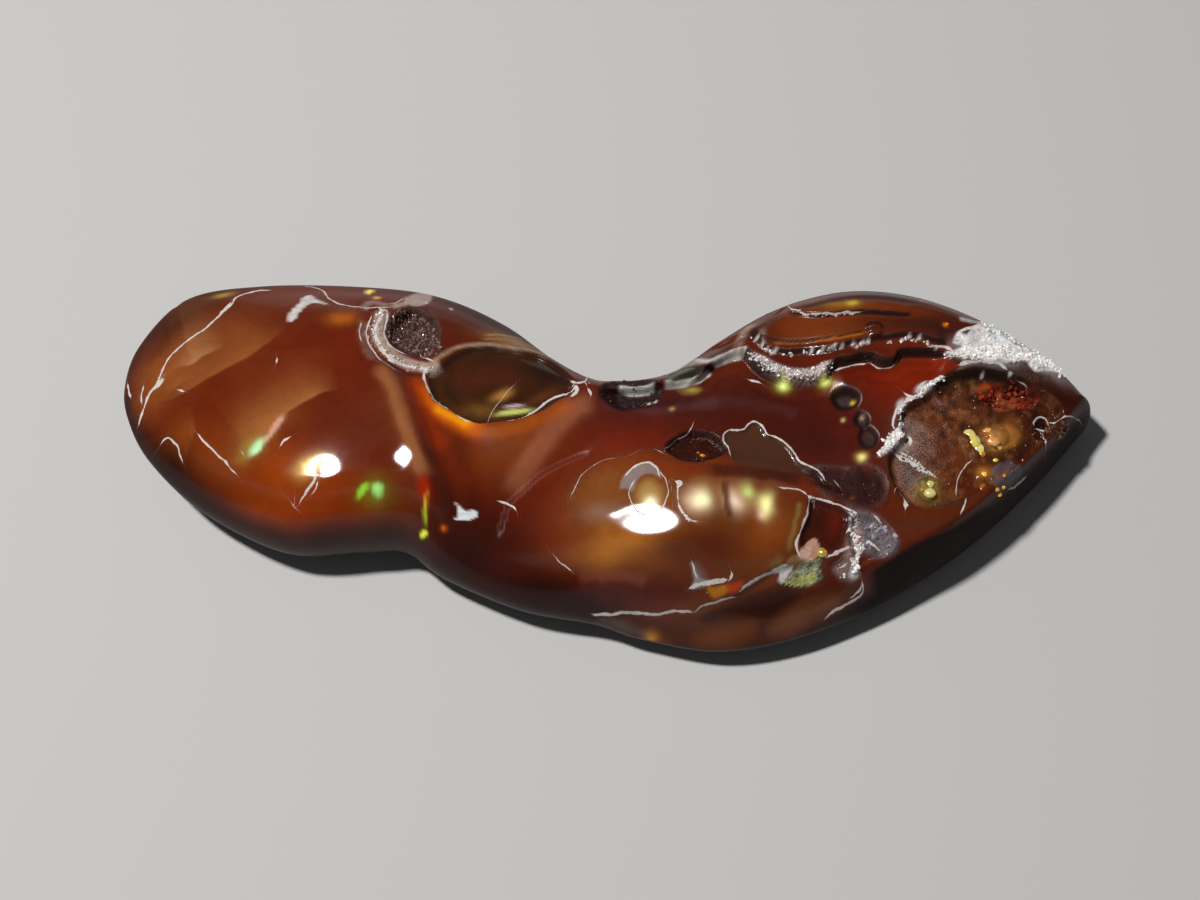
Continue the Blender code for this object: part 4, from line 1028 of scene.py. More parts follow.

# Cracks and thin seams healed with white chalcedony, and first two painted highlights along a terrace's lip:
# half the width and the line.
SEAMS = {
    # The first two are painted highlights: white lines where the lip of the terrace wall catches the light.
    "terrace_lip": (0.045, [(831, 372), (836, 368.5), (846, 366), (857, 364), (867, 361.5)]),
    "terrace_lip_fine_highlight": (0.025, [(868, 362), (873, 366), (879, 368.5), (888, 368), (894, 364), (899, 357)]),
    "left_end": (0.065, [
        (272, 290), (258, 291), (246, 294), (236, 298), (231, 303), (226, 311), (216, 319), (205, 328),
        (195, 335), (184, 343), (173, 353), (166, 362), (161, 374), (155, 386), (149, 395), (144, 407),
        (141, 418), (138, 427),
    ]),
    "left_sliver": (0.045, [(144, 385), (142, 395), (142, 405)]),
    "left_end_knot": (0.10, [(165, 378), (159, 384), (153, 391)]),
    "left_end_back": (0.10, [(231, 301), (225, 309), (218, 316)]),
    "left_chip_front": (0.05, [(128, 382), (129, 390), (131, 399)]),
    "left_chip_back": (0.06, [(170, 307), (176, 304), (183, 300)]),
    "left_arc": (0.045, [(160, 446), (163, 441), (168, 438), (174, 442), (178, 447), (180, 454), (183, 462)]),
    "left_scratch": (0.045, [(196, 433), (205, 442), (216, 453), (228, 466), (238, 476)]),
    "left_dash": (0.05, [(176, 389), (180, 390), (185, 392)]),
    "lobe_speck": (0.06, [(277, 357), (276, 364)]),
    "lobe_streak": (0.05, [(280, 447), (285, 441), (291, 437)]),
    "lobe_dot": (0.05, [(242, 450), (245, 455)]),
    "pale_streak": (0.07, [(316, 474), (313, 482), (308, 490), (303, 497), (299, 504)]),
    "pale_streak_side": (0.05, [(317, 480), (316, 488), (311, 494)]),
    "hook": (0.03, [(289, 501), (295, 508), (299, 511)]),
    "back_left": (0.045, [
        (303, 286), (315, 288), (323, 291), (331, 300), (346, 306), (360, 307), (375, 308), (392, 307),
    ]),
    "crease_end": (0.04, [(389, 303), (396, 303), (404, 298)]),
    "eye_rim_front": (0.07, [
        (424, 370), (424, 380), (428, 390), (433, 398), (441, 404), (451, 411), (461, 418), (472, 422),
        (488, 423), (504, 422), (520, 418), (533, 412), (543, 405), (552, 399), (562, 395), (572, 391),
        (577, 383),
    ]),
    "eye_rim_knot": (0.10, [(430, 396), (434, 400), (439, 402)]),
    "eye_corner": (0.08, [(571, 380), (578, 383), (586, 381), (590, 377)]),
    "eye_corner_front": (0.09, [(577, 384), (576, 392), (570, 397)]),
    "eye_corner_chip": (0.07, [(587, 387), (591, 392), (592, 397)]),
    "pit_rim_white": (0.10, [
        (381, 309), (380, 320), (375, 333), (380, 347), (391, 358), (405, 365), (420, 369), (433, 369),
    ]),
    "pit_rim_inner": (0.05, [
        (387, 312), (386, 324), (385, 335), (391, 346), (402, 354), (418, 359), (436, 362),
    ]),
    "pit_rim_far": (0.04, [(362, 322), (360, 332), (363, 343)]),
    "pit_rim_outer": (0.045, [(371, 315), (366, 328), (368, 342), (376, 355), (388, 366), (402, 373)]),
    "eye_crease": (0.012, [(487, 422), (492, 412), (500, 401), (508, 392), (515, 385)]),
    "neck_dash": (0.06, [(497, 500), (505, 503), (513, 507), (516, 511)]),
    "dome_back": (0.04, [
        (571, 497), (575, 487), (582, 476), (591, 467), (601, 461), (614, 458), (628, 456), (640, 450),
        (653, 449), (664, 454),
    ]),
    "dome_ring": (0.025, [
        (660, 470), (666, 480), (668, 491), (664, 503), (656, 512), (645, 515), (635, 509), (630, 499),
        (630, 488), (635, 478),
    ]),
    "dome_wedge_top": (0.05, [(624, 477), (631, 469), (640, 464), (650, 463), (657, 469), (661, 478)]),
    "dome_neck_top": (0.12, [(675, 480), (680, 483), (678, 489)]),
    "dome_neck_line": (0.035, [(679, 486), (677, 494), (678, 502)]),
    "dome_neck_low": (0.065, [(678, 501), (680, 508), (684, 515), (689, 521)]),
    "bracket_left": (0.06, [(691, 561), (694, 569), (697, 579)]),
    "bracket_low": (0.14, [(689, 589), (696, 585), (705, 583), (716, 581), (728, 579)]),
    "bracket_right": (0.14, [(731, 570), (732, 576), (728, 582)]),
    "dome_neck_foot": (0.04, [(684, 512), (690, 519), (697, 523)]),
    "dome_dash": (0.035, [(690, 521), (699, 521)]),
    "low_left": (0.03, [(553, 554), (558, 561), (566, 567), (574, 571)]),
    "pit_line": (0.025, [(664, 449), (672, 442), (681, 437), (689, 431), (694, 422)]),
    "cloud": (0.045, HOLLOWS["cloud"][-1][:15]),
    "cloud_tail": (0.04, [(799, 461), (808, 466), (818, 472), (826, 481)]),
    "break_back": (0.065, [(808, 496), (818, 499), (830, 502), (842, 506), (852, 511), (860, 517)]),
    "break_back_thin": (0.04, [(778, 487), (788, 488), (798, 490), (808, 495)]),
    "break_left": (0.06, [
        (809, 497), (808, 506), (806, 516), (803, 526), (799, 536), (796, 545), (798, 552), (801, 559),
    ]),
    "break_knot": (0.18, [(807, 495), (810, 497), (813, 498)]),
    "break_front": (0.08, [(821, 558), (830, 556), (838, 552), (846, 549), (853, 548)]),
    "front_left": (0.10, [
        (591, 614), (605, 615), (620, 613), (640, 612), (655, 615), (670, 612), (685, 610), (694, 612),
    ]),
    "front_middle": (0.06, [(694, 612), (705, 606), (720, 600), (735, 597)]),
    "front_right": (0.11, [
        (738, 592), (745, 588), (753, 583), (762, 577), (772, 571), (782, 567), (790, 566),
    ]),
    "front_end": (0.09, [(862, 580), (863, 590), (860, 597), (850, 603), (840, 608), (832, 613), (824, 620)]),
    "pan_dash": (0.10, [(899, 491), (902, 496), (905, 503), (905, 511)]),
    "pan_facet": (0.09, [(1008, 490), (1015, 485), (1021, 479), (1027, 476)]),
    "pan_foot": (0.05, [(960, 515), (964, 508), (966, 498)]),
    "crust_branch_back": (0.12, [(957, 332), (965, 329), (977, 326), (988, 324)]),
    "crust_branch_left": (0.12, [(963, 346), (970, 340), (980, 335), (990, 331)]),
    "crust_sweep": (0.16, [
        (962, 351), (975, 354), (990, 352), (1008, 351), (1022, 353), (1038, 357), (1052, 363),
    ]),
    "crust_sweep_back": (0.12, [(970, 345), (985, 342), (1003, 344), (1020, 349), (1036, 354)]),
    "crust_sweep_right": (0.13, [(1010, 360), (1024, 358), (1040, 362), (1055, 371), (1063, 376)]),
    "crust_left_arm": (0.13, [(944, 353), (954, 353), (966, 357), (980, 358), (996, 358)]),
    "crust_arm_low": (0.09, [(958, 366), (966, 363), (976, 361), (990, 362), (1000, 364), (1008, 370)]),
    "crust_top": (0.06, [(985, 322), (1000, 325), (1015, 333), (1030, 341)]),
    "pan_rim_back": (0.13, [
        (946, 377), (938, 380), (931, 384), (927, 390), (919, 396), (910, 399), (905, 402),
    ]),
    "pan_rim_left": (0.15, [
        (905, 402), (902, 409), (901, 417), (902, 424), (899, 431), (893, 438), (887, 445), (880, 453),
    ]),
    "pan_rim_inner": (0.06, [(899, 405), (896, 412), (893, 421), (894, 429)]),
    "pan_rim_speck": (0.08, [(928, 381), (921, 386), (917, 391)]),
    "pan_rim_dash": (0.05, [(904, 392), (910, 396), (917, 396)]),
    "pan_rim_right": (0.09, [(908, 436), (911, 441), (911, 446)]),
    "fibre_back": (0.035, [(894, 450), (905, 458), (916, 468)]),
    "fibre_middle": (0.035, [(900, 449), (912, 457), (925, 468)]),
    "fibre_front": (0.03, [(904, 457), (914, 466), (924, 474)]),
    "pan_lobe_edge": (0.03, [(973, 460), (965, 467), (958, 478), (956, 490), (957, 497)]),
    "rubble_dash_left": (0.045, [(819, 477), (823, 482)]),
    "rubble_dash_middle": (0.025, [(834, 480), (838, 486)]),
    "rubble_dash_right": (0.03, [(894, 493), (898, 487)]),
    "vein_back": (0.05, [(846, 511), (853, 516), (861, 522)]),
    "vein_back_left": (0.06, [(848, 530), (853, 522), (860, 518)]),
    "vein_core": (0.12, [(853, 568), (854, 561), (858, 553), (862, 547), (867, 542)]),
    "vein_left": (0.06, [(846, 534), (852, 528), (858, 525)]),
    "vein_side": (0.11, [(832, 555), (837, 553), (842, 551)]),
    "vein_side_front": (0.05, [(838, 568), (843, 567), (848, 562)]),
    "vein_foot": (0.20, [(852, 578), (855, 573), (857, 568)]),
    "blade_back_right": (0.06, [(875, 532), (879, 528), (884, 524)]),
    "blade_back": (0.04, [(868, 528), (872, 524), (875, 520)]),
    "blade_top": (0.05, [(873, 514), (878, 519), (882, 524)]),
    "blade_middle": (0.09, [(865, 539), (872, 545), (880, 551)]),
    "blade_tip": (0.05, [(886, 550), (891, 548)]),
    "break_low_chip": (0.09, [(862, 583), (860, 590), (855, 595), (849, 599)]),
    "tip_pit": (0.05, [
        (1046, 430), (1038, 429), (1034, 424), (1036, 418), (1042, 417), (1047, 421), (1049, 427),
    ]),
    "tip_back": (0.05, [(1048, 423), (1056, 422), (1062, 418), (1069, 416), (1076, 419), (1082, 424)]),
    "tip_front": (0.04, [(1040, 431), (1043, 438), (1046, 445), (1045, 455)]),
    "vug_back": (0.06, [(1017, 380), (1023, 384), (1028, 388)]),
    "back_line": (0.05, [(785, 304), (792, 309), (803, 314), (815, 315), (830, 314), (846, 313), (862, 312)]),
    "back_edge": (0.05, [(918, 301), (930, 302), (945, 304), (958, 308)]),
    "bead_row_end": (0.06, [(928, 347), (937, 346), (948, 348), (956, 352)]),
    "haze_white": (0.05, [(748, 380), (756, 381), (762, 384)]),
    "rubble_line": (0.03, [(836, 483), (840, 488)]),
}

# The last of them are a fringe of short fibres at the pan's left, each right of and below the one before.
FIBRES = 15
FIRST_FOOT = (890, 449)
NEXT_FOOT = (2.6, 1.3)
for i in range(FIBRES):
    across, down = FIRST_FOOT[0] + NEXT_FOOT[0] * i, FIRST_FOOT[1] + NEXT_FOOT[1] * i
    length = 8 + 5 * math.sin(2.3 * i)
    fibre = [(across, down), (across + length * 0.5, down + length * 0.6), (across + length, down + length)]
    SEAMS[f"pan_fibre_{i}"] = (0.045 + 0.015 * math.sin(1.7 * i), fibre)

# The seams are drawn in two sets, so that where two lie side by side each still has its own distances. Each
# narrows to nothing over its last quarter of a millimetre, and the steeper the stone, the finer it is.
seam_off = [np.full(X.shape, FAR), np.full(X.shape, FAR)]
seam_width = [np.zeros(X.shape), np.zeros(X.shape)]
for i, (half, line) in enumerate(SEAMS.values()):
    off, end = beside(line, 0.6, 0.07)
    nearer = np.abs(off) < np.abs(seam_off[i % 2])
    width = half * level * smooth_step(end / 0.25) * (np.abs(off) < 0.3)
    seam_off[i % 2] = np.where(nearer, off, seam_off[i % 2])
    seam_width[i % 2] = np.where(nearer, width, seam_width[i % 2])
healed = sum(
    smooth_step(width / 0.05) * (np.abs(off) < width + 0.05) for off, width in zip(seam_off, seam_width)
)
bring(roughness, 0.30, 0.5 * healed)

# Painted glints: a white dab 0.2 mm long on each of the smallest beads of the druzy edges, where
# they catch the light.
PAINTED_GLINTS = {
    "terrace_left": [(757, 338), (762, 344), (767, 349), (772, 353), (776, 350), (745, 348), (739, 350)],
    "terrace_middle": [(812, 350), (822, 350), (831, 349), (835, 345), (842, 345), (853, 344), (857, 347)],
    "terrace_right": [(863, 343), (868, 341), (902, 340), (909, 337), (919, 338), (936, 347)],
    "haze": [(650, 404), (655, 402), (645, 405)],
    "vug": [(1010, 374), (982, 376)],
    "druse_pit": [(450, 309), (427, 303)],
}
for centres in PAINTED_GLINTS.values():
    for centre in centres:
        lay("#E0D6CE", 0.9 * spot(centre, 0.11, 0.09, 40, 2))

# What the wheel only dulled: the fold of the neck, and the margins at the back and in front.
in_fold = smooth_step((0.20 - np.abs(crease)) / 0.12) * smooth_step((crease_end - 1.0) / 0.8)
bring(roughness, 1.0, in_fold)
bring(roughness, 0.50, margin(1.5, 0.9) * (1 - front_side))
bring(roughness, 0.55, margin(0.9, 0.7) * front_side)

# The white crust gets a painted glow, so that it shows whiter than the lamp alone lights it.
bring(painted_glow, 0.45, smooth_step(within(POOLS["white_crust"][-1]) / 0.12 + 0.5))

# The sawn wall of the right end is dull from its straight upper edge down, and painted near black: its
# dark stone with painted shade over it.
SAWN_EDGE = [
    (862, 576), (888, 560), (915, 543), (950, 529), (975, 514), (1000, 500), (1030, 477), (1060, 453),
    (1088, 420),
]
WALL_FROM = 11.0
off, end = beside(SAWN_EDGE, 3.0)
sawn_and_shaded = smooth_step(0.5 - off / 0.25) * smooth_step(end / 0.8)
sawn_and_shaded = np.maximum(sawn_and_shaded, margin(0.5, 0.4) * smooth_step((X - WALL_FROM) / 3.0)) * front_side
lay("#180703", 0.97 * sawn_and_shaded)
bring(roughness, 0.9, sawn_and_shaded)
bring(grit, 0.7, sawn_and_shaded)

# Grit stands up in lumps, 0.75 mm from one to the next.
GRIT_RELIEF = 0.09
relief = GRIT_RELIEF * grit * mottle(0.75, 7, 3)

# ----------------------------------------------------------------------------------------------------
# The skin: one sheet of fine squares over the crown and back underneath, rolled from a flat grid into a
# closed sleeve whose ends are gathered to points. The back is ground flat and matt, and shows dark stone.
back_x, back_y = plan_grid(BACK_ROWS, BACK_CROWDING)
back_gap, _, _, _, back_values = nearest_on(outline, True, back_x, back_y)
back_z = back_values[..., 0] * (1 - quarter_round(back_gap / back_values[..., 2]))
crown = np.stack([X, Y, Z + relief * smooth_step(edge_gap / 0.4)], axis=-1)
under = np.stack([back_x, back_y, back_z], axis=-1)[:, ::-1]
rings = np.concatenate([crown, under[:, 1:]], axis=1)
ends = [np.tile(outline[end, :3], (1, rings.shape[1], 1)) for end in (left_end, right_end)]
rings = np.concatenate([ends[0], rings, ends[1]], axis=0)

bpy.ops.object.select_all(action="DESELECT")
bpy.ops.mesh.primitive_grid_add(x_subdivisions=STATIONS, y_subdivisions=rings.shape[1] - 1, size=1)
skin = bpy.context.object
skin.name = skin.data.name = "polished_skin"
sheet = np.zeros(len(skin.data.vertices) * 3)
skin.data.vertices.foreach_get("co", sheet)
sheet = sheet.reshape(-1, 3)
station = np.rint((sheet[:, 0] + 0.5) * STATIONS).astype(int)
row = np.rint((sheet[:, 1] + 0.5) * (rings.shape[1] - 1)).astype(int)
skin.data.vertices.foreach_set("co", (rings[station, row] * MM).ravel())


def over_skin(values, at_back):
    """Spreads values on the crown's points to the whole skin, with one value all over the back."""
    whole = np.zeros((*rings.shape[:2], *values.shape[2:])) + at_back
    whole[1:-1, : CROWN_ROWS + 1] = values
    whole[1:-1, -1] = values[:, 0]
    whole[0], whole[-1] = whole[1], whole[-2]
    return whole[station, row]


# What the skin's material reads at each point of the crown, and its value all over the back.
MARKS = {
    "roughness": (roughness, 0.45),
    "grit": (grit, 0.15),
    "painted_glow": (painted_glow, 0.0),
    "depth": (np.maximum(depth_of_cut, 0), 0.0),
    "seam_off_1": (seam_off[0], FAR),
    "seam_off_2": (seam_off[1], FAR),
    "seam_width_1": (seam_width[0], 0.0),
    "seam_width_2": (seam_width[1], 0.0),
}
for name, (values, at_back) in MARKS.items():
    layer = skin.data.attributes.new(name, "FLOAT", "POINT")
    layer.data.foreach_set("value", over_skin(values, at_back))
layer = skin.data.attributes.new("stain", "FLOAT_COLOR", "POINT")
opaque = np.concatenate([stain, np.ones((*X.shape, 1))], axis=-1)
layer.data.foreach_set("color", over_skin(opaque, (*linear("#2E1A14"), 1)).ravel())

bpy.ops.object.mode_set(mode="EDIT")
bpy.ops.mesh.select_all(action="SELECT")
bpy.ops.mesh.remove_doubles(threshold=1e-8)
bpy.ops.mesh.normals_make_consistent(inside=False)
bpy.ops.object.mode_set(mode="OBJECT")
bpy.ops.object.shade_smooth()


def start_material(name, even_values):
    """A new material with the values that are even all over, its node tree and its shader's inputs."""
    material = bpy.data.materials.new(name)
    material.use_nodes = True
    shader = material.node_tree.nodes["Principled BSDF"].inputs
    for socket, value in even_values.items():
        shader[socket].default_value = value
    return material, material.node_tree, shader


def add(tree, kind, inputs=None, **settings):
    """Adds a node with its settings, and a value or a link for each input, and gives its outputs."""
    node = tree.nodes.new("ShaderNode" + kind)
    for name, value in settings.items():
        setattr(node, name, value)
    for name, source in (inputs or {}).items():
        if isinstance(source, bpy.types.NodeSocket):
            tree.links.new(source, node.inputs[name])
        else:
            node.inputs[name].default_value = source
    return node.outputs


# Chalcedony, tumbled and buffed: a deep gloss like glass, through which the stain's washes show softly
# clouded. It loses the gloss where the wheel never reached, and its healed cracks are white and duller.
polished, tree, shader = start_material(
    "polished_brown_chalcedony", {"IOR": 1.54, "Specular IOR Level": 0.22, "Emission Strength": 0.55}
)
place_in_stone = add(tree, "TexCoord")["Object"]
in_mm = add(tree, "VectorMath", {0: place_in_stone, "Scale": 1 / MM}, operation="SCALE")[0]
marks = {name: add(tree, "Attribute", attribute_name=name)["Fac"] for name in MARKS}
stain_here = add(tree, "Attribute", attribute_name="stain")["Color"]

# Clouds 2 mm across, wisps 0.4 mm across and grains 0.12 mm across.
clouds, wisps, grains = (
    add(tree, "TexNoise", {"Vector": in_mm, "Scale": 1 / size, "Detail": 4.0, "Roughness": 0.55})["Fac"]
    for size in (2.0, 0.4, 0.12)
)

# Clouds and wisps make the stain a little lighter or darker, and gritty places are specked as well.
cloudy = add(tree, "Math", {0: clouds, 1: 0.55, 2: 0.725}, operation="MULTIPLY_ADD")[0]
wispy = add(tree, "Math", {0: wisps, 1: 0.30, 2: 0.85}, operation="MULTIPLY_ADD")[0]
shade = add(tree, "Math", {0: cloudy, 1: wispy}, operation="MULTIPLY")[0]
lumps = add(tree, "Math", {0: wisps, 1: 2.2, 2: -1.85}, operation="MULTIPLY_ADD")[0]
specks = add(tree, "Math", {0: grains, 1: 1.5, 2: lumps}, operation="MULTIPLY_ADD")[0]

# The walls of the cuts show the edges of the layers, each 0.16 mm thick, more strongly the deeper they go.
LAYER = 0.16
DARKEST = 0.05
uneven = add(tree, "Math", {0: clouds, 1: 6.0}, operation="MULTIPLY")[0]
phase = add(tree, "Math", {0: marks["depth"], 1: math.tau / LAYER, 2: uneven}, operation="MULTIPLY_ADD")[0]
layers = add(tree, "Math", {0: phase}, operation="SINE")[0]
shallow = add(tree, "Math", {0: marks["depth"], 1: 0.3}, operation="MINIMUM")[0]
strength = add(tree, "Math", {0: shallow, 1: 0.35}, operation="MULTIPLY")[0]
layered = add(tree, "Math", {0: layers, 1: strength, 2: 1.0}, operation="MULTIPLY_ADD")[0]
shade = add(tree, "Math", {0: shade, 1: layered}, operation="MULTIPLY")[0]
shade = add(tree, "Math", {0: specks, 1: marks["grit"], 2: shade}, operation="MULTIPLY_ADD")[0]
shade = add(tree, "Math", {0: shade, 1: DARKEST}, operation="MAXIMUM")[0]
shaded = add(tree, "VectorMath", {0: stain_here, "Scale": shade}, operation="SCALE")[0]

# A seam is milky over its width, which the wisps make ragged, and has edges a few hundredths of a
# millimetre soft.
seams = {}
wisp_width = add(tree, "Math", {0: wisps, 1: 2.6, 2: -0.3}, operation="MULTIPLY_ADD")[0]
for i, (off, width) in enumerate((("seam_off_1", "seam_width_1"), ("seam_off_2", "seam_width_2"))):
    ragged = add(tree, "Math", {0: marks[width], 1: wisp_width}, operation="MULTIPLY")[0]
    from_middle = add(tree, "Math", {0: marks[off]}, operation="ABSOLUTE")[0]
    inside = add(tree, "Math", {0: ragged, 1: from_middle}, operation="SUBTRACT")[0]
    seams[i] = add(tree, "MapRange", {0: inside, "From Min": -0.012, "From Max": 0.015})[0]
seam = add(tree, "Math", seams, operation="MAXIMUM")[0]
whites = {6: (*linear("#F2EEEA"), 1), 7: (*linear("#A8968A"), 1)}
milky = add(tree, "Mix", {0: grains, **whites}, data_type="RGBA")[2]
seen_colour = add(tree, "Mix", {0: seam, 6: shaded, 7: milky}, data_type="RGBA")[2]
tree.links.new(seen_colour, shader["Base Color"])

# The seams and the wisps dull the gloss; where the fire is painted, it is a little metallic and is
# given a painted glow.
dull = add(tree, "Math", {0: seam, 1: 0.25, 2: marks["roughness"]}, operation="MULTIPLY_ADD")[0]
uneven = add(tree, "Math", {0: wisps, 1: 0.5}, operation="SUBTRACT")[0]
dull = add(tree, "Math", {0: uneven, 1: 0.04, 2: dull}, operation="MULTIPLY_ADD")[0]
tree.links.new(dull, shader["Roughness"])
metallic = add(tree, "Math", {0: marks["painted_glow"], 1: 0.25}, operation="MULTIPLY")[0]
tree.links.new(metallic, shader["Metallic"])
painted_glow_colour = add(tree, "VectorMath", {0: shaded, "Scale": marks["painted_glow"]}, operation="SCALE")[0]
tree.links.new(painted_glow_colour, shader["Emission Color"])

# Fine relief, in millimetres: the grains of the grit, a trace for the clouds, and the seams a little proud.
height = add(tree, "Math", {0: clouds, 1: 0.004}, operation="MULTIPLY")[0]
gritty = add(tree, "Math", {0: grains, 1: marks["grit"]}, operation="MULTIPLY")[0]
height = add(tree, "Math", {0: gritty, 1: 0.10, 2: height}, operation="MULTIPLY_ADD")[0]
height = add(tree, "Math", {0: seam, 1: 0.006, 2: height}, operation="MULTIPLY_ADD")[0]
bumps = add(tree, "Bump", {"Strength": 1.0, "Distance": MM, "Height": height})[0]
tree.links.new(bumps, shader["Normal"])

skin.data.materials.append(polished)
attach(skin, "root")
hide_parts("fire_agate")


# ----------------------------------------------------------------------------------------------------
# The druse: clear and milky quartz, grown as tiny points wherever the layers stayed apart. Each is a
# six-sided prism with a pyramid for a tip, glassy and sharp-edged, and stands sunk to its waist in the stone.
def corners_and_faces(model):
    """The corners and faces of a small model that is only ever copied, and is cleared away."""
    corners = np.array([corner.co for corner in model.data.vertices])
    # A new sphere lists its faces in another order on each run, so they are sorted.
    faces = sorted(list(face.vertices) for face in model.data.polygons)
    bpy.data.objects.remove(model)
    return corners, faces


TIP = 0.45
bpy.ops.object.select_all(action="DESELECT")
bpy.ops.mesh.primitive_cylinder_add(vertices=6, radius=0.5, depth=1.0, end_fill_type="TRIFAN")
crystal_corners, crystal_faces = corners_and_faces(bpy.context.object)
tip = np.argmax(crystal_corners[:, 2] - np.hypot(crystal_corners[:, 0], crystal_corners[:, 1]))
crystal_corners[tip, 2] += TIP

# Growths that fill an outline: how many points, smallest and largest width, darkest and palest colour, and
# the outline.
FILLED = {
    "druse_pit": (420, 0.08, 0.19, "#3A241E", "#8A6C62", [
        (385, 323), (392, 314), (402, 309), (412, 311), (423, 316), (433, 326), (441, 338), (441, 350),
        (434, 357), (424, 357), (412, 354), (400, 347), (388, 338),
    ]),
    "druzy_band": (260, 0.07, 0.15, "#A8988F", "#FFFFFF", POOLS["druzy_band"][-1]),
    "white_crust": (110, 0.08, 0.18, "#D8D2CC", "#FFFFFF", POOLS["white_crust"][-1]),
    "broken_patch": (46, 0.06, 0.22, "#4A4246", "#A8A6B0", POOLS["broken_patch"][-1]),
    "white_vein": (24, 0.06, 0.16, "#8A7470", "#F0EAE6", POOLS["white_vein"][-1]),
    "notch": (50, 0.06, 0.14, "#1A0D0A", "#5A463E", HOLLOWS["notch"][-1]),
    "pan_grey": (24, 0.06, 0.12, "#5A4238", "#A8968A", POOLS["pan_grey"][-1]),
    "vug": (46, 0.14, 0.36, "#4A140A", "#94381C", HOLLOWS["vug"][-1]),
    "dark_pit": (44, 0.08, 0.18, "#240F0A", "#4E281C", HOLLOWS["dark_pit"][-1]),
    "dark_rubble": (70, 0.05, 0.12, "#240F0A", "#7A4A34", POOLS["dark_rubble"][-1]),
    "pan_floor": (90, 0.03, 0.07, "#6A4632", "#E8D8C8", HOLLOWS["pan"][-1]),
    "tip_brown": (34, 0.10, 0.22, "#2A140C", "#7A5A48", [
        (1041, 430), (1046, 425), (1058, 423), (1070, 425), (1068, 434), (1056, 440),
    ]),
}

# Growths along a line: half the width of the growth, how many points, and the rest as above.
LINED = {
    "pit_rim": (0.26, 90, 0.08, 0.17, "#8C7466", "#F0EAE6", [
        (384, 308), (378, 318), (376, 330), (381, 344), (391, 356), (404, 364), (418, 368), (434, 369),
    ]),
    "pan_rim": (0.10, 76, 0.07, 0.16, "#D8D0CA", "#FFFFFF", [
        (944, 378), (929, 385), (920, 394), (908, 400), (902, 409), (901, 420), (898, 432), (888, 444),
        (878, 455),
    ]),
    "pan_rim_blob": (0.26, 46, 0.08, 0.18, "#D8D2CC", "#FFFFFF", [(899, 431), (893, 438), (886, 445)]),
    "crust_sweep": (0.30, 150, 0.09, 0.20, "#E0DCD8", "#FFFFFF", [
        (962, 352), (980, 353), (1000, 350), (1020, 352), (1038, 358), (1054, 367), (1062, 375),
    ]),
    "crust_arm": (0.10, 36, 0.08, 0.16, "#A89A90", "#FFFFFF", [
        (942, 353), (954, 354), (968, 357), (984, 359),
    ]),
    "terrace_beads": (0.06, 26, 0.10, 0.20, "#A8928A", "#FFFFFF", [
        (751, 338), (759, 344), (769, 350), (784, 354), (800, 353), (828, 350), (843, 347), (857, 345),
        (866, 344),
    ]),
    "terrace_beads_right": (0.06, 12, 0.10, 0.20, "#A8928A", "#FFFFFF", [
        (886, 344), (902, 341), (912, 340), (919, 341), (936, 347),
    ]),
    "shoulder_beads": (0.04, 40, 0.07, 0.12, "#7A5A4A", "#D8CCC4", [
        (793, 312), (808, 316), (822, 315), (840, 314), (858, 313),
    ]),
    "vein_core": (0.14, 36, 0.12, 0.24, "#B8ACA6", "#FFFFFF", [
        (850, 530), (857, 545), (855, 560), (855, 574),
    ]),
}
growths = [(within(growth[-1]) > 0.04, growth[:-1]) for growth in FILLED.values()]
for half, *growth, line in LINED.values():
    off, end = beside(line, 1.0, 0.05)
    growths.append(((np.abs(off) < half) & (end > 0.02), growth))

# How far the points lean, in radians, and stray, in millimetres. Their length and how deep their middles sink
# are shares of their width.
LEAN = 0.55
STRAY = 0.06
SHORTEST = 0.8
LONGEST = 1.5
SINK = 0.12

chance = np.random.default_rng(5)
points, tones = [], []
for mask, (count, smallest, largest, darkest, palest) in growths:
    spots = np.argwhere(mask)
    for i, j in spots[chance.choice(len(spots), min(count, len(spots)), replace=False)]:
        wide = smallest + (largest - smallest) * chance.random() ** 2
        leaning = Euler((*chance.normal(0.0, LEAN, 2), chance.uniform(0, math.tau))).to_matrix()
        size = (wide, wide, wide * chance.uniform(SHORTEST, LONGEST))
        aside = (*chance.uniform(-STRAY, STRAY, 2), -SINK * wide)
        points.append((crystal_corners * size) @ np.array(leaning).T + (X[i, j], Y[i, j], Z[i, j]) + aside)
        tones.append(linear(darkest) + (linear(palest) - linear(darkest)) * chance.random() ** 1.5)


def joined(name, copies, faces, tones):
    """Joins many copies of a small model to one piece, each copy with a tone of its own."""
    size = len(copies[0])
    piece = bpy.data.objects.new(name, bpy.data.meshes.new(name))
    all_faces = [[corner + i * size for corner in face] for i in range(len(copies)) for face in faces]
    piece.data.from_pydata((np.concatenate(copies) * MM).tolist(), [], all_faces)
    layer = piece.data.attributes.new("tone", "FLOAT_COLOR", "POINT")
    layer.data.foreach_set("color", np.repeat([(*tone, 1.0) for tone in tones], size, axis=0).ravel())
    bpy.context.scene.collection.objects.link(piece)
    return piece


druse = joined("quartz_druse", points, crystal_faces, tones)

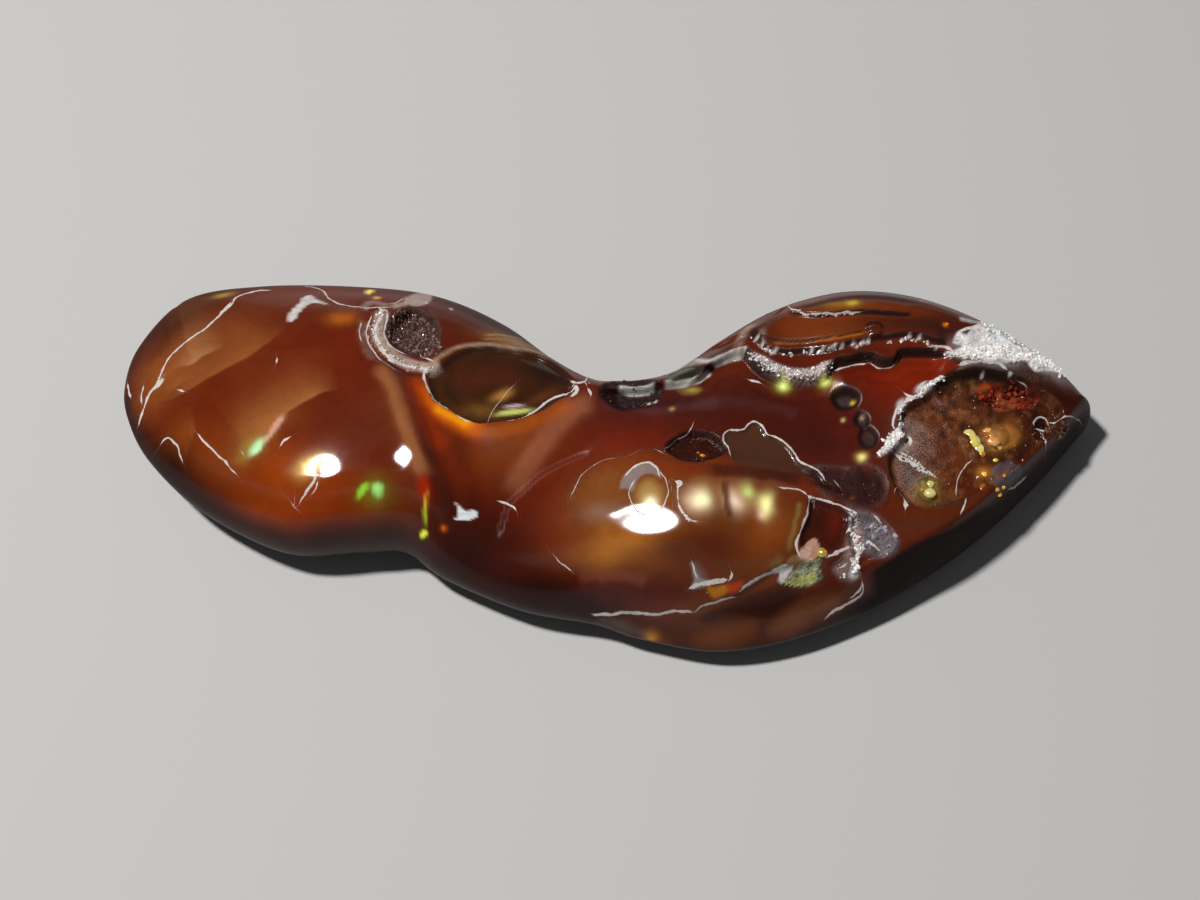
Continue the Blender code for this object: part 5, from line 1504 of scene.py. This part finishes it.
# Quartz: hard and clear, so each face either flashes or shows the colour of the stone under it. Veils in it,
# nine to the millimetre, make it a little paler or darker. Each point has a faint painted glow in its tone.
glassy, tree, shader = start_material(
    "glassy_quartz_points",
    {"IOR": 1.54, "Roughness": 0.18, "Specular IOR Level": 0.35, "Emission Strength": 0.12},
)
tone_here = add(tree, "Attribute", attribute_name="tone")["Color"]
place_in_stone = add(tree, "TexCoord")["Object"]
in_mm = add(tree, "VectorMath", {0: place_in_stone, "Scale": 1 / MM}, operation="SCALE")[0]
veils = add(tree, "TexNoise", {"Vector": in_mm, "Scale": 9.0, "Detail": 2.0})["Fac"]
shade = add(tree, "Math", {0: veils, 1: 0.7, 2: 0.65}, operation="MULTIPLY_ADD")[0]
veiled = add(tree, "VectorMath", {0: tone_here, "Scale": shade}, operation="SCALE")[0]
tree.links.new(veiled, shader["Base Color"])
tree.links.new(veiled, shader["Emission Color"])
druse.data.materials.append(glassy)
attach(druse, "root")

# ----------------------------------------------------------------------------------------------------
# The gold beads: drops of chalcedony over iron oxide, that polishing has left standing. They are yellow,
# green or orange, with a painted glow; each is a small lumpy bubble, half sunk in the stone.
bpy.ops.object.select_all(action="DESELECT")
bpy.ops.mesh.primitive_uv_sphere_add(segments=16, ring_count=10, radius=1.0)
bubble_corners, bubble_faces = corners_and_faces(bpy.context.object)

# Place, half length, half width, height above the stone, turn in degrees and colour of each bead.
BUBBLES = {
    "ball_in_break": ((821.5, 552.5), 0.25, 0.25, 0.20, 0, "#A89C4C"),
    "ember_in_break": ((825.0, 553.5), 0.13, 0.16, 0.22, 0, "#D8782C"),
    "pan_left_back": ((929.5, 484.0), 0.26, 0.20, 0.14, 20, "#D2CC7A"),
    "pan_left_front": ((930.0, 493.0), 0.30, 0.26, 0.16, 0, "#D8D088"),
    "pan_left_side": ((923.0, 489.0), 0.16, 0.14, 0.10, 0, "#A8802C"),
    "by_facet": ((984.0, 474.5), 0.17, 0.15, 0.14, 0, "#F4CC60"),
    "amber_by_facet": ((982.5, 487.0), 0.18, 0.26, 0.06, 0, "#9A5818"),
    "caterpillar_head": ((969.5, 434.0), 0.32, 0.28, 0.15, -20, "#E0D478"),
    "caterpillar_body": ((973.5, 441.5), 0.38, 0.36, 0.18, -40, "#E4CC68"),
    "caterpillar_waist": ((978.0, 448.0), 0.33, 0.30, 0.17, -30, "#ECDC88"),
    "caterpillar_tail": ((982.0, 453.5), 0.20, 0.18, 0.12, 0, "#B8782C"),
    "rose_lump": ((987.0, 431.0), 0.28, 0.18, 0.12, 20, "#E8B070"),
    "tan_lump": ((993.0, 441.5), 0.36, 0.26, 0.15, -30, "#DC9A60"),
    "lump_spark": ((999.5, 447.5), 0.13, 0.12, 0.10, 0, "#F8D078"),
    "lump_ember": ((987.0, 437.0), 0.14, 0.12, 0.10, 0, "#B8501C"),
    "facet_foot_left": ((997.0, 489.0), 0.13, 0.11, 0.10, 0, "#E09828"),
    "facet_foot_front": ((999.5, 494.0), 0.13, 0.12, 0.10, 0, "#F4A838"),
    "facet_foot_right": ((1003.5, 487.5), 0.10, 0.09, 0.08, 0, "#E8B850"),
    "facet_spark": ((1004.5, 476.0), 0.09, 0.12, 0.07, 0, "#D88838"),
    "behind_facet": ((995.5, 460.5), 0.15, 0.10, 0.08, 0, "#D8B848"),
    "tip_ember": ((1059.5, 436.0), 0.08, 0.08, 0.06, 0, "#C8681C"),
    "dark_pit_ember": ((702.0, 455.5), 0.15, 0.09, 0.10, 0, "#E09430"),
    "dark_pit_small_ember": ((698.0, 453.0), 0.08, 0.06, 0.08, 0, "#C87820"),
    "ring_gold": ((853.0, 403.0), 0.11, 0.09, 0.08, 0, "#D8B038"),
    "terrace_orange": ((947.0, 324.0), 0.08, 0.08, 0.06, 0, "#E07818"),
}

LUMPS = 5
LUMP_HEIGHT = 0.07
bubbles = []
for i, (view_point, long, wide, high, turn, _) in enumerate(BUBBLES.values()):
    cx, cy = place(*view_point)
    lumpy = bubble_corners * (1 + LUMP_HEIGHT * np.sin(LUMPS * bubble_corners[:, [1, 2, 0]] + i))
    turned = (lumpy * (long, wide, high)) @ np.array(Euler((0, 0, math.radians(turn))).to_matrix()).T
    bubbles.append(turned + (cx, cy, height_at(cx, cy)))
beads = joined("gold_beads", bubbles, bubble_faces, [linear(bubble[-1]) for bubble in BUBBLES.values()])
beads.data.polygons.foreach_set("use_smooth", np.ones(len(beads.data.polygons), bool))

# A bead over its film of oxide: a glassy, partly metallic drop with a painted glow, a little greener or
# redder from place to place, seven times to the millimetre.
golden, tree, shader = start_material(
    "gold_beads_with_painted_glow", {"IOR": 1.54, "Roughness": 0.18, "Metallic": 0.35, "Emission Strength": 0.30}
)
tone_here = add(tree, "Attribute", attribute_name="tone")["Color"]
place_in_stone = add(tree, "TexCoord")["Object"]
in_mm = add(tree, "VectorMath", {0: place_in_stone, "Scale": 1 / MM}, operation="SCALE")[0]
drift = add(tree, "TexNoise", {"Vector": in_mm, "Scale": 7.0, "Detail": 2.0})["Color"]
drifting = {0: drift, 1: (1.2, 1.2, 1.2), 2: (0.4, 0.4, 0.4)}
tint = add(tree, "VectorMath", drifting, operation="MULTIPLY_ADD")[0]
tinted = add(tree, "VectorMath", {0: tone_here, 1: tint}, operation="MULTIPLY")[0]
tree.links.new(tinted, shader["Base Color"])
tree.links.new(tinted, shader["Emission Color"])
beads.data.materials.append(golden)
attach(beads, "root")

# ----------------------------------------------------------------------------------------------------
# The table and the light: a plain pale card, a small soft lamp high up on the left, and a dim pale room.
bpy.ops.object.select_all(action="DESELECT")
bpy.ops.mesh.primitive_plane_add(size=2.0)
card = bpy.context.object
card.name = "card"
card_paint = {"Base Color": (*linear("#C6C4C1"), 1), "Roughness": 0.9}
card.data.materials.append(start_material("matt_pale_card", card_paint)[0])

LAMP_WIDE = 26.0
lamp = bpy.data.objects.new("lamp", bpy.data.lights.new("lamp", "AREA"))
lamp.data.shape = "DISK"
lamp.data.size = LAMP_WIDE * MM
lamp.data.energy = 0.88
lamp.location = Vector(LAMP_AT) * MM
lamp.rotation_euler = Vector(LAMP_AT).to_track_quat("Z", "Y").to_euler()
bpy.context.scene.collection.objects.link(lamp)

room = bpy.data.worlds.new("room")
room.use_nodes = True
room.node_tree.nodes["Background"].inputs["Color"].default_value = (*linear("#F2F6FF"), 1)
room.node_tree.nodes["Background"].inputs["Strength"].default_value = 0.08
bpy.context.scene.world = room
bpy.context.scene.view_settings.view_transform = "Standard"
